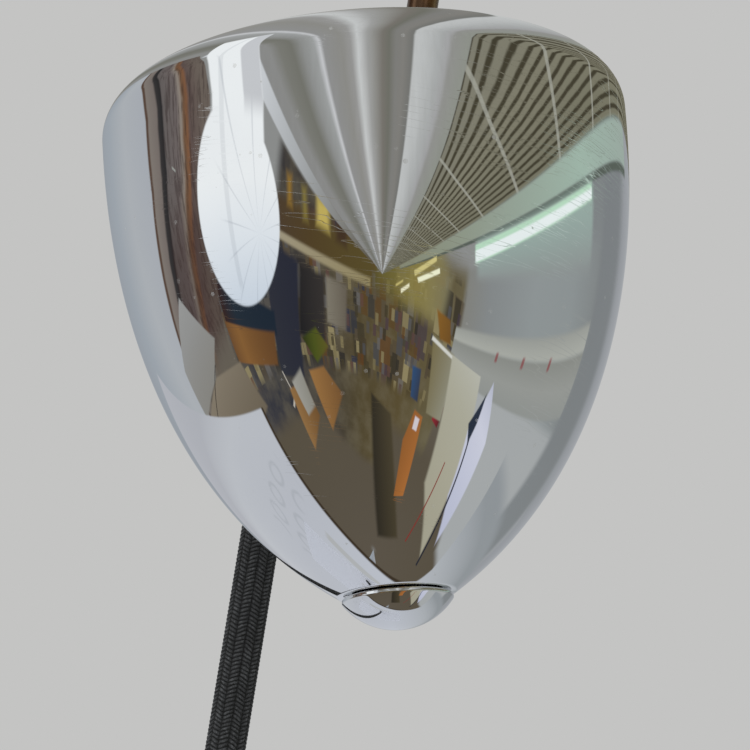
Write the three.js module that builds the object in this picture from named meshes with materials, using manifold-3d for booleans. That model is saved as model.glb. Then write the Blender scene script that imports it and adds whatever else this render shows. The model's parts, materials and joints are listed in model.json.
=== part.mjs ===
// Balance-arm architect desk lamp, in millimetres, +Z up, standing on Z = 0.
// The arm swings in the XZ plane: the shade hangs at +X, the ogive counterweight at -X.
import * as THREE from 'three';
import { mergeVertices } from 'three/addons/utils/BufferGeometryUtils.js';
import Module from 'manifold-3d';

const wasm = await Module();
wasm.setup();

// ---------------------------------------------------------------- driving dimensions
const GAP = 0.3; // clearance between pieces that seat on each other
const DEG = Math.PI / 180;

const BASE = {
  radius: 95, height: 24, topFlat: 24, edgeRadius: 7, edgeDrop: 8, sheet: 1.5,
  padMargin: 3, padThickness: 1.6, nutRim: 7, nutHeight: 6, facets: 24,
};
const STEM = { radius: 7, wall: 1.5, top: 404, insertion: 19.5, collarWidth: 12, collarHeight: 12 };
const PIVOT = {
  rise: 26, boltRadius: 3, eyeRadius: 9, washer: 1, washerRadius: 8, cheek: 5,
  knobRadius: 12, knobDepth: 16, boltHeadRadius: 6, boltHead: 4,
};
const ARM = {
  slope: 20, offset: 16, radius: 6, wall: 1.25, tail: 144.2, reach: 400,
  hubWidth: 12, sleeveWall: 3, sleeveHalf: 24, screwAt: 14,
};
const HANGER = {
  length: 102, radius: 2.7, wall: 1.2, ballRadius: 11, eyeRadius: 6, eyeMargin: 0.1, collarTop: 15, socket: 8,
};
const OUTLET = {
  aboveEye: 46, barrelWall: 2.8, barrelHeight: 9, branch: 9, branchRadius: 4.3, relief: 19, reliefWall: 0.6,
  rise: 15, turn: 16.8,
};
const WEIGHT = {
  radius: 45, shoulder: 6, ogive: 80.8, wall: 1.2, lean: 12.4, pivotDepth: 36.5, lidHole: 16, lidFlange: 8,
  lidSheet: 0.8, lidSkirt: 7, mouthRim: 9, fillTop: 19, slotClearance: 3.6,
  pinRadius: 2.5, pinHalf: 22, washer: 0.8, capRadius: 9.7, capRise: 5.4, studRadius: 2.5, facets: 24,
};
const FORK = {
  start: 0.6, barrel: 16, radius: 8, cheek: 4, pinAt: 40, pinRadius: 2, journalRadius: 4,
  counterbore: 5, counterboreRadius: 6.2,
};
const SCREW = { radius: 1.5, headRadius: 3.2, headHeight: 2.6 };
const HEAD = {
  eyeRadius: 7, eyeWidth: 8, neckRadius: 4, flangeRadius: 7, neckEnd: -56, cupTop: -29.3, cupGap: 1.8,
  cupRim: -78, sheet: 1.2, holderRadius: 19.5, holderWall: 6, holderEnd: -90,
  switchAt: -54, switchRadius: 2, bushRadius: 4, knobRadius: 7,
};
const SHADE = { radius: 75, depth: 95, wall: 0.8, collar: 7.5, rimRoll: 1.4 };
const BULB = { radius: 28, length: 73, capLength: 28, wall: 1 };
const FLEX = { radius: 3.7, rest: 0.1 };
const COIL = { x: -223.25, y: 114.6, meanRadius: 43, turnsAcross: 3 };
const PLUG = { length: 34, width: 24, thickness: 13.6, tail: 20, pinRadius: 2, pinLength: 19, pinPitch: 19 };

const FINISH = {
  chrome: { color: 0xd6d9db, roughness: 0.06, metalness: 1 },
  agedBrass: { color: 0x6b4a36, roughness: 0.42, metalness: 1 },
  brass: { color: 0xb08d57, roughness: 0.35, metalness: 1 },
  steel: { color: 0x9a9ca0, roughness: 0.35, metalness: 1 },
  iron: { color: 0x3a3b3d, roughness: 0.75, metalness: 0.6 },
  bakelite: { color: 0x17130f, roughness: 0.3, metalness: 0 },
  rubber: { color: 0x111111, roughness: 0.8, metalness: 0 },
  felt: { color: 0x20241f, roughness: 0.95, metalness: 0 },
  textile: { color: 0x1c1c1d, roughness: 0.9, metalness: 0 },
  fibre: { color: 0x8a5a3c, roughness: 0.8, metalness: 0 },
  glass: { color: 0xf3f1ea, roughness: 0.15, metalness: 0 },
};

const pivotHeight = STEM.top + PIVOT.rise;
const padTop = BASE.padThickness + GAP;
const stemHole = STEM.radius + GAP;
const sleeveRadius = ARM.radius + ARM.sleeveWall;
const hangerBore = HANGER.radius - HANGER.wall;
const hangerEyeHalf = HANGER.radius + HANGER.wall + HANGER.eyeMargin; // a little wider than its collar
const mouthRadius = WEIGHT.radius - WEIGHT.mouthRim;
const lidFit = mouthRadius / 120; // the lid's clearance in the mouth, which grows with its width
const cupRadius = HEAD.holderRadius + HEAD.sheet + HEAD.cupGap;
const holderBore = HEAD.holderRadius - HEAD.holderWall;
const bulbCapRadius = holderBore - GAP;

// ---------------------------------------------------------------- geometry helpers
/** Turns the triangles round if the closed mesh they form is inside out. */
function faceOutwards(indices, position) {
  const [a, b, c] = [new THREE.Vector3(), new THREE.Vector3(), new THREE.Vector3()];
  let volume = 0;
  for (let i = 0; i < indices.length; i += 3) {
    a.fromArray(position, 3 * indices[i]);
    b.fromArray(position, 3 * indices[i + 1]);
    c.fromArray(position, 3 * indices[i + 2]);
    volume += a.dot(b.cross(c));
  }
  if (volume > 0) return indices;
  return indices.map((_, i) => indices[i - (i % 3) + 2 - (i % 3)]);
}

/** A closed three.js geometry as a solid that can be joined and cut. */
function toSolid(geometry) {
  const bare = geometry.clone();
  bare.deleteAttribute('normal');
  bare.deleteAttribute('uv');
  const merged = mergeVertices(bare, 1e-4);
  const kept = [];
  for (let i = 0; i < merged.index.count; i += 3) {
    const corners = [0, 1, 2].map((k) => merged.index.getX(i + k));
    if (new Set(corners).size === 3) kept.push(...corners);
  }
  const position = merged.attributes.position.array;
  return new wasm.Manifold(new wasm.Mesh({
    numProp: 3,
    vertProperties: new Float32Array(position),
    triVerts: new Uint32Array(faceOutwards(kept, position)),
  }));
}

/** A solid back as a three.js geometry. */
function toGeometry(solid) {
  const mesh = solid.getMesh();
  const geometry = new THREE.BufferGeometry();
  geometry.setAttribute('position', new THREE.BufferAttribute(mesh.vertProperties, 3));
  geometry.setIndex(new THREE.BufferAttribute(mesh.triVerts, 1));
  geometry.computeVertexNormals();
  return geometry;
}

/** The union of closed geometries. */
function join(...pieces) {
  return toGeometry(pieces.map(toSolid).reduce((sum, piece) => sum.add(piece)));
}

/** A closed geometry with others taken out of it. */
function cut(piece, ...tools) {
  return toGeometry(tools.map(toSolid).reduce((left, tool) => left.subtract(tool), toSolid(piece)));
}

/** A profile of [radius, height] pairs turned about Z; it closes on itself or ends on the axis. */
function revolve(profile, segments = 20) {
  const points = profile.map(([r, z]) => new THREE.Vector2(r, z));
  return new THREE.LatheGeometry(points, segments).rotateX(Math.PI / 2);
}

/** A round bar about Z from one height to another. */
function bar(radius, from, to, segments = 16) {
  return revolve([[0, from], [radius, from], [radius, to], [0, to]], segments);
}

/** A round tube or washer about Z. */
function pipe(outer, inner, from, to, segments = 16) {
  return revolve([[inner, from], [outer, from], [outer, to], [inner, to], [inner, from]], segments);
}

/** Lays a piece made about Z along +X. */
function alongX(geometry) {
  return geometry.rotateY(Math.PI / 2);
}

/** Lays a piece made about Z along +Y. */
function alongY(geometry) {
  return geometry.rotateX(-Math.PI / 2);
}

/** Lays a piece made about Z along -Y, towards the front. */
function towardsFront(geometry) {
  return alongY(geometry).rotateZ(Math.PI);
}

/** Points of an arc in a profile, angles in degrees. */
function arc(x, z, radius, from, to, steps) {
  const points = [];
  for (let i = 0; i <= steps; i += 1) {
    const angle = (from + ((to - from) * i) / steps) * DEG;
    points.push([x + radius * Math.cos(angle), z + radius * Math.sin(angle)]);
  }
  return points;
}

/** Points of a cubic Bezier curve in a profile, without its first point. */
function bezier(a, b, c, d, steps) {
  const [p0, p1, p2, p3] = [a, b, c, d].map(([x, z]) => new THREE.Vector2(x, z));
  const points = new THREE.CubicBezierCurve(p0, p1, p2, p3).getPoints(steps);
  return points.slice(1).map((p) => [p.x, p.y]);
}

/** A profile moved towards its right-hand side by a distance. */
function inset(profile, distance) {
  return profile.map(([x, z], i) => {
    const [x0, z0] = profile[Math.max(i - 1, 0)];
    const [x1, z1] = profile[Math.min(i + 1, profile.length - 1)];
    const length = Math.hypot(x1 - x0, z1 - z0);
    return [x + ((z1 - z0) / length) * distance, z - ((x1 - x0) / length) * distance];
  });
}

/** A flat plate: an outline in the XZ plane, given its thickness along Y about Y = 0. */
function plateXZ(points, thickness) {
  const shape = new THREE.Shape(points.map(([x, z]) => new THREE.Vector2(x, z)));
  const geometry = new THREE.ExtrudeGeometry(shape, { depth: thickness, bevelEnabled: false });
  return geometry.translate(0, 0, -thickness / 2).rotateX(Math.PI / 2);
}

/** A hexagon nut about Z with a round hole. */
function hexNut(corner, hole, from, to) {
  const sides = 6;
  const outer = arc(0, 0, corner, 0, 360 * (1 - 1 / sides), sides - 1);
  const shape = new THREE.Shape(outer.map(([x, y]) => new THREE.Vector2(x, y)));
  shape.holes.push(new THREE.Path().absarc(0, 0, hole, 0, 2 * Math.PI, true));
  const options = { depth: to - from, bevelEnabled: false, curveSegments: 9 };
  return new THREE.ExtrudeGeometry(shape, options).translate(0, 0, from);
}

/** A scalloped hand knob about Z with a blind threaded hole from its lower face. */
function handKnob(radius, depth, hole, holeDepth, scallops = 7) {
  const chamfer = radius * 0.12;
  const body = revolve([
    [0, 0], [radius * 0.62, 0], [radius * 0.62, depth * 0.22], [radius - chamfer, depth * 0.22],
    [radius, depth * 0.22 + chamfer], [radius, depth - chamfer], [radius - chamfer, depth], [0, depth],
  ], 20);
  const flutes = [];
  for (let i = 0; i < scallops; i += 1) {
    const angle = (i * 2 * Math.PI) / scallops;
    const flute = bar(radius * 0.16, -1, depth + 1, 8);
    flutes.push(flute.translate(radius * 1.04 * Math.cos(angle), radius * 1.04 * Math.sin(angle), 0));
  }
  return cut(body, ...flutes, bar(hole, -1, holeDepth));
}

/** A tube of round section along a smooth curve through chosen points. */
function cordAlong(points, steps) {
  const path = new THREE.CatmullRomCurve3(points.map((p) => new THREE.Vector3(...p)), false, 'centripetal');
  const section = new THREE.Shape().absarc(0, 0, FLEX.radius, 0, 2 * Math.PI, false);
  const options = { steps, extrudePath: path, bevelEnabled: false, curveSegments: 5 };
  return new THREE.ExtrudeGeometry(section, options);
}

/** Adds one named piece to its group, as a merged mesh with its faces pointing out. */
function addPart(parent, name, geometry, finish) {
  const body = toGeometry(toSolid(geometry));
  const mesh = new THREE.Mesh(body, new THREE.MeshStandardMaterial(FINISH[finish]));
  mesh.name = name;
  parent.add(mesh);
  return mesh;
}

/** A nested frame at a place in its parent, turned about Y by an angle in degrees. */
function addFrame(parent, x, y, z, turnY = 0) {
  const frame = new THREE.Group();
  frame.position.set(x, y, z);
  frame.rotation.y = turnY * DEG;
  parent.add(frame);
  return frame;
}

// ---------------------------------------------------------------- base and stem

/** The base dome's outer line from the stem hole down to the rim. */
function baseProfile() {
  const shoulderX = BASE.radius - BASE.edgeRadius;
  const shoulderZ = BASE.height - BASE.edgeDrop;
  return [
    [stemHole, BASE.height],
    [BASE.topFlat, BASE.height],
    ...bezier([BASE.topFlat, BASE.height], [BASE.radius * 0.58, BASE.height],
      [BASE.radius * 0.65, shoulderZ], [shoulderX, shoulderZ], 5),
    ...arc(shoulderX, shoulderZ - BASE.edgeRadius, BASE.edgeRadius, 60, 0, 2),
    [BASE.radius, padTop],
  ];
}

/** The spun cover of the base, open below. */
function baseShell() {
  const outer = baseProfile();
  const inner = inset(outer, BASE.sheet).reverse();
  return revolve([...outer, ...inner.map(([x, z]) => [x, Math.max(z, padTop)]), outer[0]], BASE.facets);
}

const nutRecess = stemHole + BASE.nutRim;
const nutTop = padTop + BASE.nutHeight + 2 * GAP;

/** The iron disc under the shell, recessed from below for the stem's nut. */
function baseBallast() {
  const dome = inset(baseProfile(), BASE.sheet + GAP).reverse();
  const seat = nutTop + GAP;
  return revolve([
    [nutRecess, padTop],
    ...dome.map(([x, z]) => [x, Math.max(z, padTop)]),
    [stemHole, seat],
    [nutRecess, seat],
    [nutRecess, padTop],
  ], BASE.facets);
}

/** The turned collar that closes the base round the stem, its sides sweeping up to a thin lip. */
function stemCollar() {
  const foot = BASE.height + GAP;
  const top = foot + STEM.collarHeight;
  const skirt = STEM.radius + STEM.collarWidth;
  return revolve([
    [stemHole, foot], [skirt, foot], [skirt, foot + 2],
    ...bezier([skirt, foot + 2], [stemHole + 3.5, foot + 2.5],
      [stemHole + 2.5, foot + 5], [stemHole + 2.2, top], 4),
    [stemHole, top], [stemHole, foot],
  ], 18);
}

const cheekInside = ARM.hubWidth / 2 + PIVOT.washer + 2 * GAP;
const cheekOutside = cheekInside + PIVOT.cheek;

/** The forked head of the stem, turned with a shank that fits the tube. */
function pivotFork() {
  const seat = STEM.top + GAP;
  const floor = seat + 12;
  const shank = STEM.radius - STEM.wall - GAP;
  const head = revolve([
    [0, STEM.top - STEM.insertion], [shank, STEM.top - STEM.insertion], [shank, seat],
    [STEM.radius + 1, seat], ...bezier([STEM.radius + 1, seat], [STEM.radius + 1.5, seat + 5],
      [cheekOutside + 1, seat + 4], [cheekOutside + 1, floor - 2], 3),
    [cheekOutside + 1, floor], [0, floor],
  ], 20);
  const rise = pivotHeight - floor + 2;
  const crown = arc(0, 0, PIVOT.eyeRadius, 0, 180, 9);
  const outline = [[PIVOT.eyeRadius, -rise], ...crown, [-PIVOT.eyeRadius, -rise]];
  const cheeks = [1, -1].map((side) => plateXZ(outline, PIVOT.cheek)
    .translate(0, (side * (cheekInside + cheekOutside)) / 2, pivotHeight));
  const hole = alongY(bar(PIVOT.boltRadius + GAP, -30, 30)).translate(0, 0, pivotHeight);
  return cut(join(head, ...cheeks), hole);
}

/** The bolt through fork and hub: a low round head at the rear, its thread in the knob. */
function pivotBolt() {
  const headAt = cheekOutside + GAP;
  const tip = -(cheekOutside + GAP + PIVOT.knobDepth - 4);
  return alongY(join(
    bar(PIVOT.boltRadius, tip, headAt + 1),
    revolve([
      [0, headAt], [PIVOT.boltHeadRadius, headAt], [PIVOT.boltHeadRadius, headAt + PIVOT.boltHead - 1],
      [PIVOT.boltHeadRadius - 1, headAt + PIVOT.boltHead], [0, headAt + PIVOT.boltHead],
    ], 16),
  ));
}

function buildStand(lamp) {
  addPart(lamp, 'felt_pad', bar(BASE.radius - BASE.padMargin, 0, BASE.padThickness, BASE.facets), 'felt');
  addPart(lamp, 'base_shell', baseShell(), 'chrome');
  addPart(lamp, 'base_ballast', baseBallast(), 'iron');
  const nutFoot = nutTop - BASE.nutHeight;
  const nut = hexNut(nutRecess - 2, stemHole, nutFoot, nutTop);
  addPart(lamp, 'base_nut', nut, 'steel');
  addPart(lamp, 'stem_collar', stemCollar(), 'agedBrass');
  const stem = pipe(STEM.radius, STEM.radius - STEM.wall, nutFoot - GAP, STEM.top);
  addPart(lamp, 'stem_tube', stem, 'agedBrass');
  addPart(lamp, 'pivot_fork', pivotFork(), 'agedBrass');
  const pivot = addFrame(lamp, 0, 0, pivotHeight);
  addPart(pivot, 'pivot_bolt', pivotBolt(), 'steel');
  const knob = handKnob(PIVOT.knobRadius, PIVOT.knobDepth, PIVOT.boltRadius + GAP, PIVOT.knobDepth - 4 + GAP);
  addPart(pivot, 'pivot_knob', towardsFront(knob).translate(0, -(cheekOutside + GAP), 0), 'bakelite');
}

// ---------------------------------------------------------------- balance arm
/** The hub: an eye on the pivot bolt, and above it the sleeve that grips the arm's tube. */
function armHub() {
  const chamfer = 1.5;
  const eye = alongY(bar(PIVOT.eyeRadius, -ARM.hubWidth / 2, ARM.hubWidth / 2, 20));
  const web = new THREE.BoxGeometry(PIVOT.eyeRadius * 1.6, ARM.hubWidth, ARM.offset);
  const sleeve = alongX(revolve([
    [0, -ARM.sleeveHalf], [sleeveRadius - chamfer, -ARM.sleeveHalf], [sleeveRadius, chamfer - ARM.sleeveHalf],
    [sleeveRadius, ARM.sleeveHalf - chamfer], [sleeveRadius - chamfer, ARM.sleeveHalf], [0, ARM.sleeveHalf],
  ], 20)).translate(0, 0, ARM.offset);
  return cut(
    join(eye, web.translate(0, 0, ARM.offset / 2), sleeve),
    alongX(bar(ARM.radius + GAP, -60, 60, 20)).translate(0, 0, ARM.offset),
    alongY(bar(PIVOT.boltRadius + GAP, -20, 20)),
    bar(SCREW.radius + GAP, ARM.offset, ARM.offset + 20, 12).translate(ARM.screwAt, 0, 0),
  );
}

/** The small screw that locks the arm tube in its sleeve. */
function hubScrew() {
  const tip = ARM.radius + GAP;
  const seat = sleeveRadius + GAP;
  const top = seat + SCREW.headHeight;
  return revolve([
    [0, tip], [SCREW.radius, tip], [SCREW.radius, seat], [SCREW.headRadius, seat],
    [SCREW.headRadius, top - 0.6], [SCREW.headRadius - 0.8, top], [0, top],
  ], 14).translate(ARM.screwAt, 0, ARM.offset);
}

const journalEnd = ARM.reach + FORK.start + FORK.barrel - FORK.counterbore;
const journalThread = 8;

/** The turned journal in the tube's end that the head turns on. */
function armJournal() {
  const spigot = ARM.radius - ARM.wall - GAP;
  const [foot, step] = [ARM.reach - 16, ARM.reach - 0.1];
  const journal = revolve([
    [0, foot], [spigot, foot], [spigot, step], [FORK.journalRadius, step], [FORK.journalRadius, journalEnd],
    [0, journalEnd],
  ], 20);
  const thread = bar(SCREW.radius + GAP, journalEnd - journalThread - 1, journalEnd + 5, 12);
  return alongX(cut(journal, thread)).translate(0, 0, ARM.offset);
}

/** The screw whose wide head keeps the forked head piece on its journal. */
function journalScrew() {
  const seat = journalEnd + GAP;
  const head = FORK.counterboreRadius - 2 * GAP;
  const screw = revolve([
    [0, seat - journalThread], [SCREW.radius, seat - journalThread], [SCREW.radius, seat], [head, seat],
    [head, seat + SCREW.headHeight], [0, seat + SCREW.headHeight],
  ], 18);
  return alongX(screw).translate(0, 0, ARM.offset);
}

const tailGap = 2.5;
const hangerTopGap = 3.3;

/** The ball that turns the arm's tail down into the hanger. */
function tailBall() {
  const ball = new THREE.SphereGeometry(HANGER.ballRadius, 16, 8);
  const armSocket = alongX(bar(ARM.radius + GAP, tailGap - GAP, 30, 16)).rotateY(-ARM.slope * DEG);
  return cut(ball, armSocket, bar(HANGER.radius + GAP, -30, GAP - hangerTopGap));
}

/** The eye at the foot of the hanger, with a socket for the tube. */
function hangerEye() {
  const half = hangerEyeHalf;
  return cut(
    join(
      alongY(bar(HANGER.eyeRadius, -half, half, 20)),
      bar(HANGER.radius + HANGER.wall, 0, HANGER.collarTop),
    ),
    alongY(bar(WEIGHT.pinRadius + GAP, -20, 20)),
    bar(HANGER.radius + GAP, HANGER.socket, 30),
  );
}

/** The direction in which the flex leaves its outlet: backwards, to the side and a little up. */
function outletDirection() {
  const level = Math.cos(OUTLET.rise * DEG);
  return new THREE.Vector3(
    -Math.sin(OUTLET.turn * DEG) * level,
    Math.cos(OUTLET.turn * DEG) * level,
    Math.sin(OUTLET.rise * DEG),
  );
}

/** Points a piece made about Z along the outlet's direction. */
function alongOutlet(geometry) {
  const turn = new THREE.Quaternion().setFromUnitVectors(new THREE.Vector3(0, 0, 1), outletDirection());
  return geometry.applyQuaternion(turn).translate(0, 0, OUTLET.aboveEye);
}

/** The tee on the hanger: a short barrel round the tube and the branch that the flex leaves by. */
function flexOutlet() {
  const half = OUTLET.barrelHeight / 2;
  const radius = HANGER.radius + OUTLET.barrelWall;
  const barrel = revolve([
    [0, -half], [radius - 1, -half], [radius, -half + 1], [radius, half - 1], [radius - 1, half], [0, half],
  ], 18).translate(0, 0, OUTLET.aboveEye);
  return cut(
    join(barrel, alongOutlet(bar(OUTLET.branchRadius, 0, OUTLET.branch))),
    bar(HANGER.radius + GAP, 0, 200),
    alongOutlet(bar(hangerBore, 0, 30, 12)),
  );
}

/** The tapered rubber sleeve that eases the flex out of its outlet. */
function flexRelief() {
  const foot = OUTLET.branch + GAP;
  const tip = OUTLET.branch + OUTLET.relief;
  const [wide, narrow] = [OUTLET.branchRadius + OUTLET.reliefWall, FLEX.radius + OUTLET.reliefWall];
  return alongOutlet(revolve([
    [hangerBore, foot], [wide, foot], [wide, foot + 4], [wide - 0.4, foot + 5], [narrow, tip],
    [hangerBore, tip], [hangerBore, foot],
  ], 18));
}

function buildArm(lamp) {
  const arm = addFrame(lamp, 0, 0, pivotHeight, -ARM.slope);
  addPart(arm, 'arm_hub', armHub(), 'agedBrass');
  const washerAt = ARM.hubWidth / 2 + GAP;
  for (const [side, name] of [[-1, 'hub_washer_front'], [1, 'hub_washer_rear']]) {
    const washer = pipe(PIVOT.washerRadius, PIVOT.boltRadius + GAP, washerAt, washerAt + PIVOT.washer);
    addPart(arm, name, alongY(washer).rotateZ(side < 0 ? Math.PI : 0), 'fibre');
  }
  addPart(arm, 'hub_screw', hubScrew(), 'steel');
  const tube = pipe(ARM.radius, ARM.radius - ARM.wall, tailGap - ARM.tail, ARM.reach);
  addPart(arm, 'arm_tube', alongX(tube).translate(0, 0, ARM.offset), 'agedBrass');
  addPart(arm, 'arm_journal', armJournal(), 'steel');
  addPart(arm, 'journal_screw', journalScrew(), 'steel');
  const tail = addFrame(arm, -ARM.tail, 0, ARM.offset, ARM.slope);
  addPart(tail, 'tail_ball', tailBall(), 'chrome');
  const eye = addFrame(tail, 0, 0, -HANGER.length);
  const hanger = pipe(HANGER.radius, hangerBore, HANGER.socket + GAP, HANGER.length - hangerTopGap);
  addPart(eye, 'hanger_tube', hanger, 'agedBrass');
  addPart(eye, 'hanger_eye', hangerEye(), 'steel');
  addPart(eye, 'flex_outlet', flexOutlet(), 'agedBrass');
  addPart(eye, 'flex_relief', flexRelief(), 'rubber');
  buildWeight(eye);
  buildHead(arm);
}

// ---------------------------------------------------------------- ogive counterweight
/** The ogive's outer line from its rounded shoulder to the seat of its cap, from its top plane at 0. */
function ogiveProfile() {
  const [radius, shoulder] = [WEIGHT.radius, WEIGHT.shoulder];
  const foot = -(shoulder + WEIGHT.ogive);
  const handle = radius * 0.543;
  return [
    ...arc(radius - shoulder, -shoulder, shoulder, 90, 0, 3),
    ...bezier([radius, -shoulder], [radius, -shoulder - WEIGHT.ogive * 0.513],
      [WEIGHT.capRadius + handle * Math.cos(33.9 * DEG), foot + handle * Math.sin(33.9 * DEG)],
      [WEIGHT.capRadius, foot], 8),
  ];
}

/** The spun shell, bored at the apex for the cap's stud and open under the lid. */
function weightShell() {
  const outer = ogiveProfile();
  const bore = WEIGHT.studRadius + GAP;
  const foot = outer[outer.length - 1][1];
  const floor = foot + WEIGHT.wall;
  const inner = inset(outer, WEIGHT.wall).reverse().map(([x, z]) => [x, Math.max(z, floor)]);
  return revolve([
    [mouthRadius, 0], ...outer,
    [bore, foot], [bore, floor],
    ...inner,
    [mouthRadius, -WEIGHT.wall], [mouthRadius, 0],
  ], WEIGHT.facets);
}

const studGrip = 12;

/** The metal poured into the shell, slotted for the hanger's eye and bored for its pin. */
function weightFilling() {
  const fillTop = -WEIGHT.pivotDepth + WEIGHT.fillTop;
  const floor = ogiveProfile().pop()[1] + WEIGHT.wall + GAP;
  const wall = inset(ogiveProfile(), WEIGHT.wall + GAP)
    .filter(([, z]) => z < fillTop - 1)
    .map(([x, z]) => [x, Math.max(z, floor)]);
  const body = revolve([[0, fillTop], [wall[0][0], fillTop], ...wall, [0, floor]], WEIGHT.facets);
  const slotHalf = hangerEyeHalf + WEIGHT.washer + 2 * GAP;
  const slotRadius = HANGER.eyeRadius + WEIGHT.slotClearance;
  const slot = join(
    alongY(bar(slotRadius, -slotHalf, slotHalf)),
    new THREE.BoxGeometry(2 * slotRadius, 2 * slotHalf, 30).translate(0, 0, 15),
  ).translate(0, 0, -WEIGHT.pivotDepth);
  const pinLength = WEIGHT.pinHalf + GAP;
  const pinBore = alongY(bar(WEIGHT.pinRadius + GAP, -pinLength, pinLength));
  return cut(
    body,
    slot,
    pinBore.translate(0, 0, -WEIGHT.pivotDepth),
    bar(WEIGHT.studRadius + GAP, floor - 5, floor + studGrip, 14),
  );
}

/** The pressed lid: a flange on the shell's mouth, a skirt inside it and the hanger's opening. */
function weightLid() {
  const [sheet, skirt, rim] = [WEIGHT.lidSheet, mouthRadius - lidFit, WEIGHT.radius - WEIGHT.lidFlange];
  return revolve([
    [WEIGHT.lidHole, GAP], [WEIGHT.lidHole, GAP + sheet], [rim - sheet / 2, GAP + sheet],
    [rim, GAP + sheet / 2], [rim, GAP], [skirt, GAP], [skirt, -WEIGHT.lidSkirt],
    [skirt - sheet, -WEIGHT.lidSkirt], [skirt - sheet, GAP], [WEIGHT.lidHole, GAP],
  ], 20);
}

/** The low domed cap at the apex, screwed up on the stud. */
function weightCap() {
  const seat = ogiveProfile().pop()[1] - GAP;
  const [r, rise] = [WEIGHT.capRadius, WEIGHT.capRise];
  const sphere = (r * r + rise * rise) / (2 * rise);
  const half = Math.asin(r / sphere) / DEG;
  const dome = arc(0, seat - rise + sphere, sphere, -90 + half, -90, 5);
  const cap = revolve([[0, seat], [r - 0.4, seat], ...dome.slice(0, -1), [0, seat - rise]], 20);
  return cut(cap, bar(WEIGHT.studRadius + GAP, seat - 3, seat + 3, 14));
}

function weightStud() {
  const foot = ogiveProfile().pop()[1];
  return bar(WEIGHT.studRadius, foot - 3, foot + studGrip - 1);
}

function buildWeight(eye) {
  const pivot = addFrame(eye, 0, 0, 0, -WEIGHT.lean);
  const weight = addFrame(pivot, 0, 0, WEIGHT.pivotDepth);
  addPart(weight, 'weight_shell', weightShell(), 'chrome');
  addPart(weight, 'weight_filling', weightFilling(), 'iron');
  addPart(weight, 'weight_lid', weightLid(), 'chrome');
  addPart(weight, 'weight_cap', weightCap(), 'chrome');
  addPart(weight, 'weight_stud', weightStud(), 'steel');
  addPart(pivot, 'weight_pin', alongY(bar(WEIGHT.pinRadius, -WEIGHT.pinHalf, WEIGHT.pinHalf)), 'steel');
  const washerAt = hangerEyeHalf + GAP;
  for (const [side, name] of [[-1, 'weight_washer_front'], [1, 'weight_washer_rear']]) {
    const washer = pipe(HANGER.eyeRadius, WEIGHT.pinRadius + GAP, washerAt, washerAt + WEIGHT.washer);
    addPart(pivot, name, alongY(washer).rotateZ(side < 0 ? Math.PI : 0), 'fibre');
  }
}

// ---------------------------------------------------------------- head
const forkInside = HEAD.eyeWidth / 2 + GAP;
const forkOutside = forkInside + FORK.cheek;

/** The forked piece that turns on the arm's journal and carries the tilting neck. */
function headFork() {
  const end = FORK.start + FORK.barrel;
  const barrel = alongX(revolve([
    [0, FORK.start], [FORK.radius - 1, FORK.start], [FORK.radius, FORK.start + 1],
    [FORK.radius, end], [0, end],
  ], 20));
  const crown = arc(FORK.pinAt, 0, HEAD.eyeRadius, 90, -90, 8);
  const outline = [[end - 3, HEAD.eyeRadius - 1], ...crown, [end - 3, -HEAD.eyeRadius + 1]];
  const cheeks = [1, -1].map((side) => plateXZ(outline, FORK.cheek)
    .translate(0, (side * (forkInside + forkOutside)) / 2, 0));
  return cut(
    join(barrel, ...cheeks),
    alongX(bar(FORK.journalRadius + GAP, -5, end - FORK.counterbore + 1, 20)),
    alongX(bar(FORK.counterboreRadius, end - FORK.counterbore, end + 2, 20)),
    alongY(bar(FORK.pinRadius + GAP, -20, 20)).translate(FORK.pinAt, 0, 0),
  );
}

const nutGrip = 4;

/** The bolt through the fork and the neck's eye, its thread in the small hand nut. */
function headBolt() {
  const seat = forkOutside + GAP;
  const head = 2 * FORK.pinRadius;
  return alongY(revolve([
    [0, -seat - nutGrip], [FORK.pinRadius, -seat - nutGrip], [FORK.pinRadius, seat], [head, seat],
    [head, seat + 2], [head - 1, seat + 3], [0, seat + 3],
  ], 14));
}

/** The tilting neck: an eye, a flange on the cup and a threaded end in the lampholder. */
function headNeck() {
  const half = HEAD.eyeWidth / 2;
  return cut(
    join(
      alongY(bar(HEAD.eyeRadius, -half, half, 20)),
      revolve([
        [0, 0], [HEAD.neckRadius, 0], [HEAD.neckRadius, HEAD.cupTop + 6.3],
        [HEAD.flangeRadius, HEAD.cupTop + 3], [HEAD.flangeRadius, HEAD.cupTop + GAP],
        [HEAD.neckRadius, HEAD.cupTop + GAP], [HEAD.neckRadius, HEAD.neckEnd], [0, HEAD.neckEnd],
      ], 18),
    ),
    alongY(bar(FORK.pinRadius + GAP, -20, 20)),
  );
}

/** The bell-shaped cover over the lampholder, with a side hole for the switch. */
function socketCup() {
  const crown = HEAD.flangeRadius + 3;
  const outer = [
    [HEAD.neckRadius + GAP, HEAD.cupTop], [crown, HEAD.cupTop],
    ...bezier([crown, HEAD.cupTop], [cupRadius * 0.67, HEAD.cupTop - 1], [cupRadius, HEAD.cupTop - 8],
      [cupRadius, HEAD.cupTop - 20], 4),
    [cupRadius, HEAD.cupRim],
  ];
  const inner = inset(outer, HEAD.sheet).reverse();
  inner[0][1] = HEAD.cupRim;
  const cup = revolve([...outer, ...inner, outer[0]], 16);
  const bushHole = towardsFront(bar(HEAD.bushRadius + GAP, 15, 40));
  return cut(cup, bushHole.translate(0, 0, HEAD.switchAt));
}

const holderFloor = HEAD.neckEnd - 5;

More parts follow.
